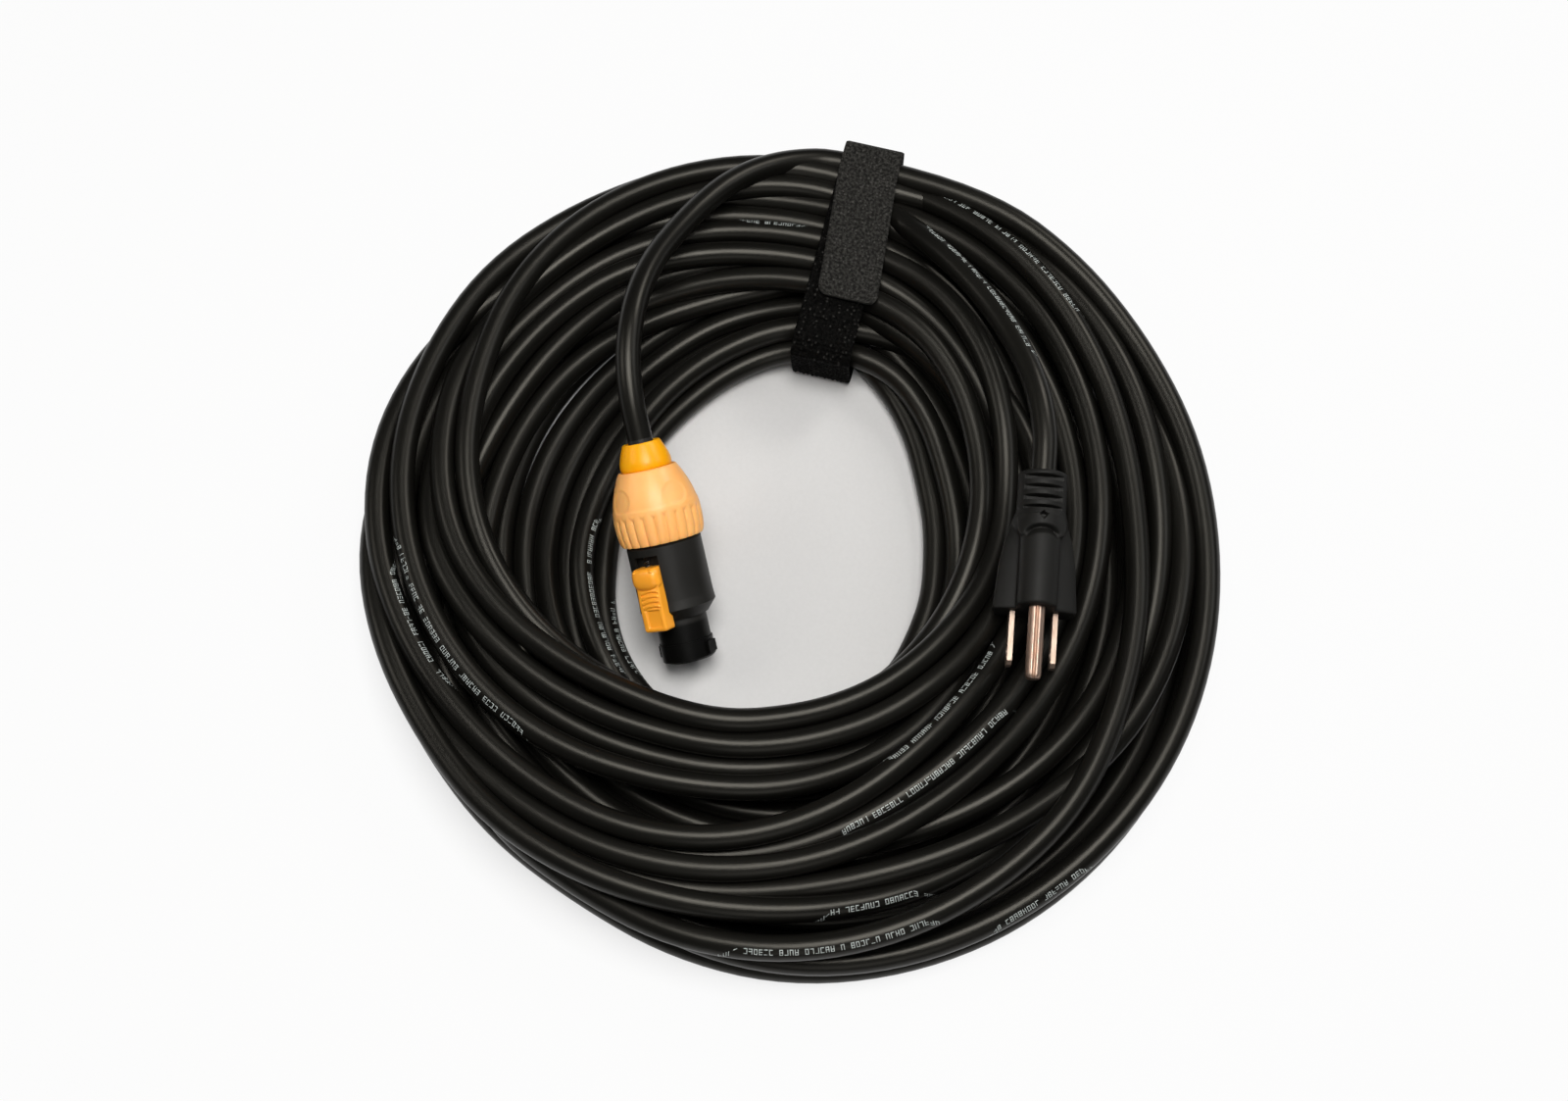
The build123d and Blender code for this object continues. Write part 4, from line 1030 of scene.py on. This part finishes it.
class POWERCABLE_OT_stage(bpy.types.Operator):
    """Lays the pale floor and sets the soft lights, the world and the camera"""

    bl_idname = "power_cable.stage"
    bl_label = "Stage"

    def execute(self, context):
        scene = context.scene
        s = scene.stage_settings
        colour = tuple(s.floor_colour)
        edge = np.linspace(-s.floor_width / 2, s.floor_width / 2, 9)
        x, y = np.meshgrid(edge, edge, indexing="ij")
        floor = surface("studio_floor", np.stack([x, y, np.full_like(x, -0.0004)], -1))
        n = Nodes("studio_floor")
        at = n.place()
        grain = n.noise(at, 900.0, 3.0)
        base = n.blend(n.spread(grain, 0.3, 0.7), shade(colour, 0.985), shade(colour, 1.015))
        floor.data.materials.append(n.finish(base, 0.7, n.bump(grain, 0.00002, 0.2), specular_ior_level=0.2))
        # white to the camera away from the object, its own colour and shadow in the hole and close by
        away = n.vector("DISTANCE", n.vector("MULTIPLY", at, (1.0, 1.0, 0.0)), CENTRE, "Value")
        seen = n.add("ShaderNodeLightPath").outputs
        ray = n.math("MAXIMUM", seen["Is Camera Ray"], seen["Is Glossy Ray"])
        ray = n.math("MAXIMUM", ray, seen["Is Transmission Ray"])
        white = n.times(n.spread(away, 0.085, 0.135, 0.0, 0.93), ray)
        glow = n.add("ShaderNodeEmission", [("Color", (1, 1, 1)), ("Strength", 1.0)])
        mix = n.add("ShaderNodeMixShader", [(0, white), (1, n.shader.outputs[0]), (2, glow.outputs[0])])
        n.join(mix.outputs[0], n.tree.nodes["Material Output"].inputs["Surface"])

        # the world is white to the camera and a dim soft light to the rest
        scene.world = bpy.data.worlds.new("studio_world")
        n = Nodes(scene.world)
        n.tree.nodes.clear()
        soft = n.add("ShaderNodeBackground", [("Color", (0.95, 0.97, 1.0)), ("Strength", 0.075)])
        bright = n.add("ShaderNodeBackground", [("Color", (1, 1, 1)), ("Strength", 1.0)])
        direct = n.add("ShaderNodeLightPath").outputs["Is Camera Ray"]
        mix = n.add("ShaderNodeMixShader", [(0, direct), (1, soft.outputs[0]), (2, bright.outputs[0])])
        n.add("ShaderNodeOutputWorld", [("Surface", mix.outputs[0])])

        for name, at, size, power, colour in (
            ("softbox_top", (0.02, -0.02, 0.80), 0.38, 5.8, (1.0, 0.985, 0.955)),
            ("softbox_left", (-0.95, 0.10, 0.75), 0.40, 2.0, (1.0, 0.97, 0.93)),
            ("softbox_right", (0.95, 0.25, 0.80), 0.40, 1.6, (0.95, 0.97, 1.0)),
            ("softbox_back", (0.50, 0.56, 0.62), 0.26, 2.2, (1.0, 0.97, 0.92)),
            ("softbox_front", (0.10, -0.95, 0.60), 0.50, 1.2, (1.0, 0.99, 0.97)),
        ):
            lamp = bpy.data.lights.new(name, "AREA")
            lamp.shape, lamp.size, lamp.energy, lamp.color = "SQUARE", size, power, colour
            aimed(name, lamp, at, (0, 0, 0.01))

        camera = bpy.data.cameras.new("studio_camera")
        camera.lens, camera.sensor_width = s.lens, 36.0
        camera.clip_start, camera.clip_end = 0.01, 20.0
        scene.camera = aimed("studio_camera", camera, (-0.0007, -0.2310, 0.6388), (-0.0007, -0.0029, 0.012))
        scene.view_settings.view_transform = "Standard"
        return {"FINISHED"}


# -------- add-on


class POWERCABLE_PT_panel(bpy.types.Panel):
    """Lists the settings and the steps that build the cable"""

    bl_idname = "POWERCABLE_PT_panel"
    bl_label = "Power Cable"
    bl_space_type = "VIEW_3D"
    bl_region_type = "UI"
    bl_category = "Power Cable"

    def draw(self, context):
        for holder in SETTINGS:
            group = getattr(context.scene, holder)
            box = self.layout.box()
            for key in group.__annotations__:
                box.prop(group, key)
        for step in STEPS:
            self.layout.operator(step.bl_idname)


SETTINGS = {
    "cable_settings": CableSettings, "strap_settings": StrapSettings, "connector_settings": ConnectorSettings,
    "plug_settings": PlugSettings, "stage_settings": StageSettings,
}
STEPS = (
    POWERCABLE_OT_carried, POWERCABLE_OT_plug, POWERCABLE_OT_cord, POWERCABLE_OT_strap,
    POWERCABLE_OT_connector, POWERCABLE_OT_stage,
)


def register():
    for kind in (*SETTINGS.values(), *STEPS, POWERCABLE_PT_panel):
        bpy.utils.register_class(kind)
    for key, kind in SETTINGS.items():
        setattr(bpy.types.Scene, key, bpy.props.PointerProperty(type=kind))


def unregister():
    for key in SETTINGS:
        delattr(bpy.types.Scene, key)
    for kind in (POWERCABLE_PT_panel, *reversed(STEPS), *reversed(SETTINGS.values())):
        bpy.utils.unregister_class(kind)


def main():
    """Builds every piece in turn."""
    register()
    for step in STEPS:
        group, name = step.bl_idname.split(".")
        getattr(getattr(bpy.ops, group), name)()


if __name__ == "__main__":
    main()
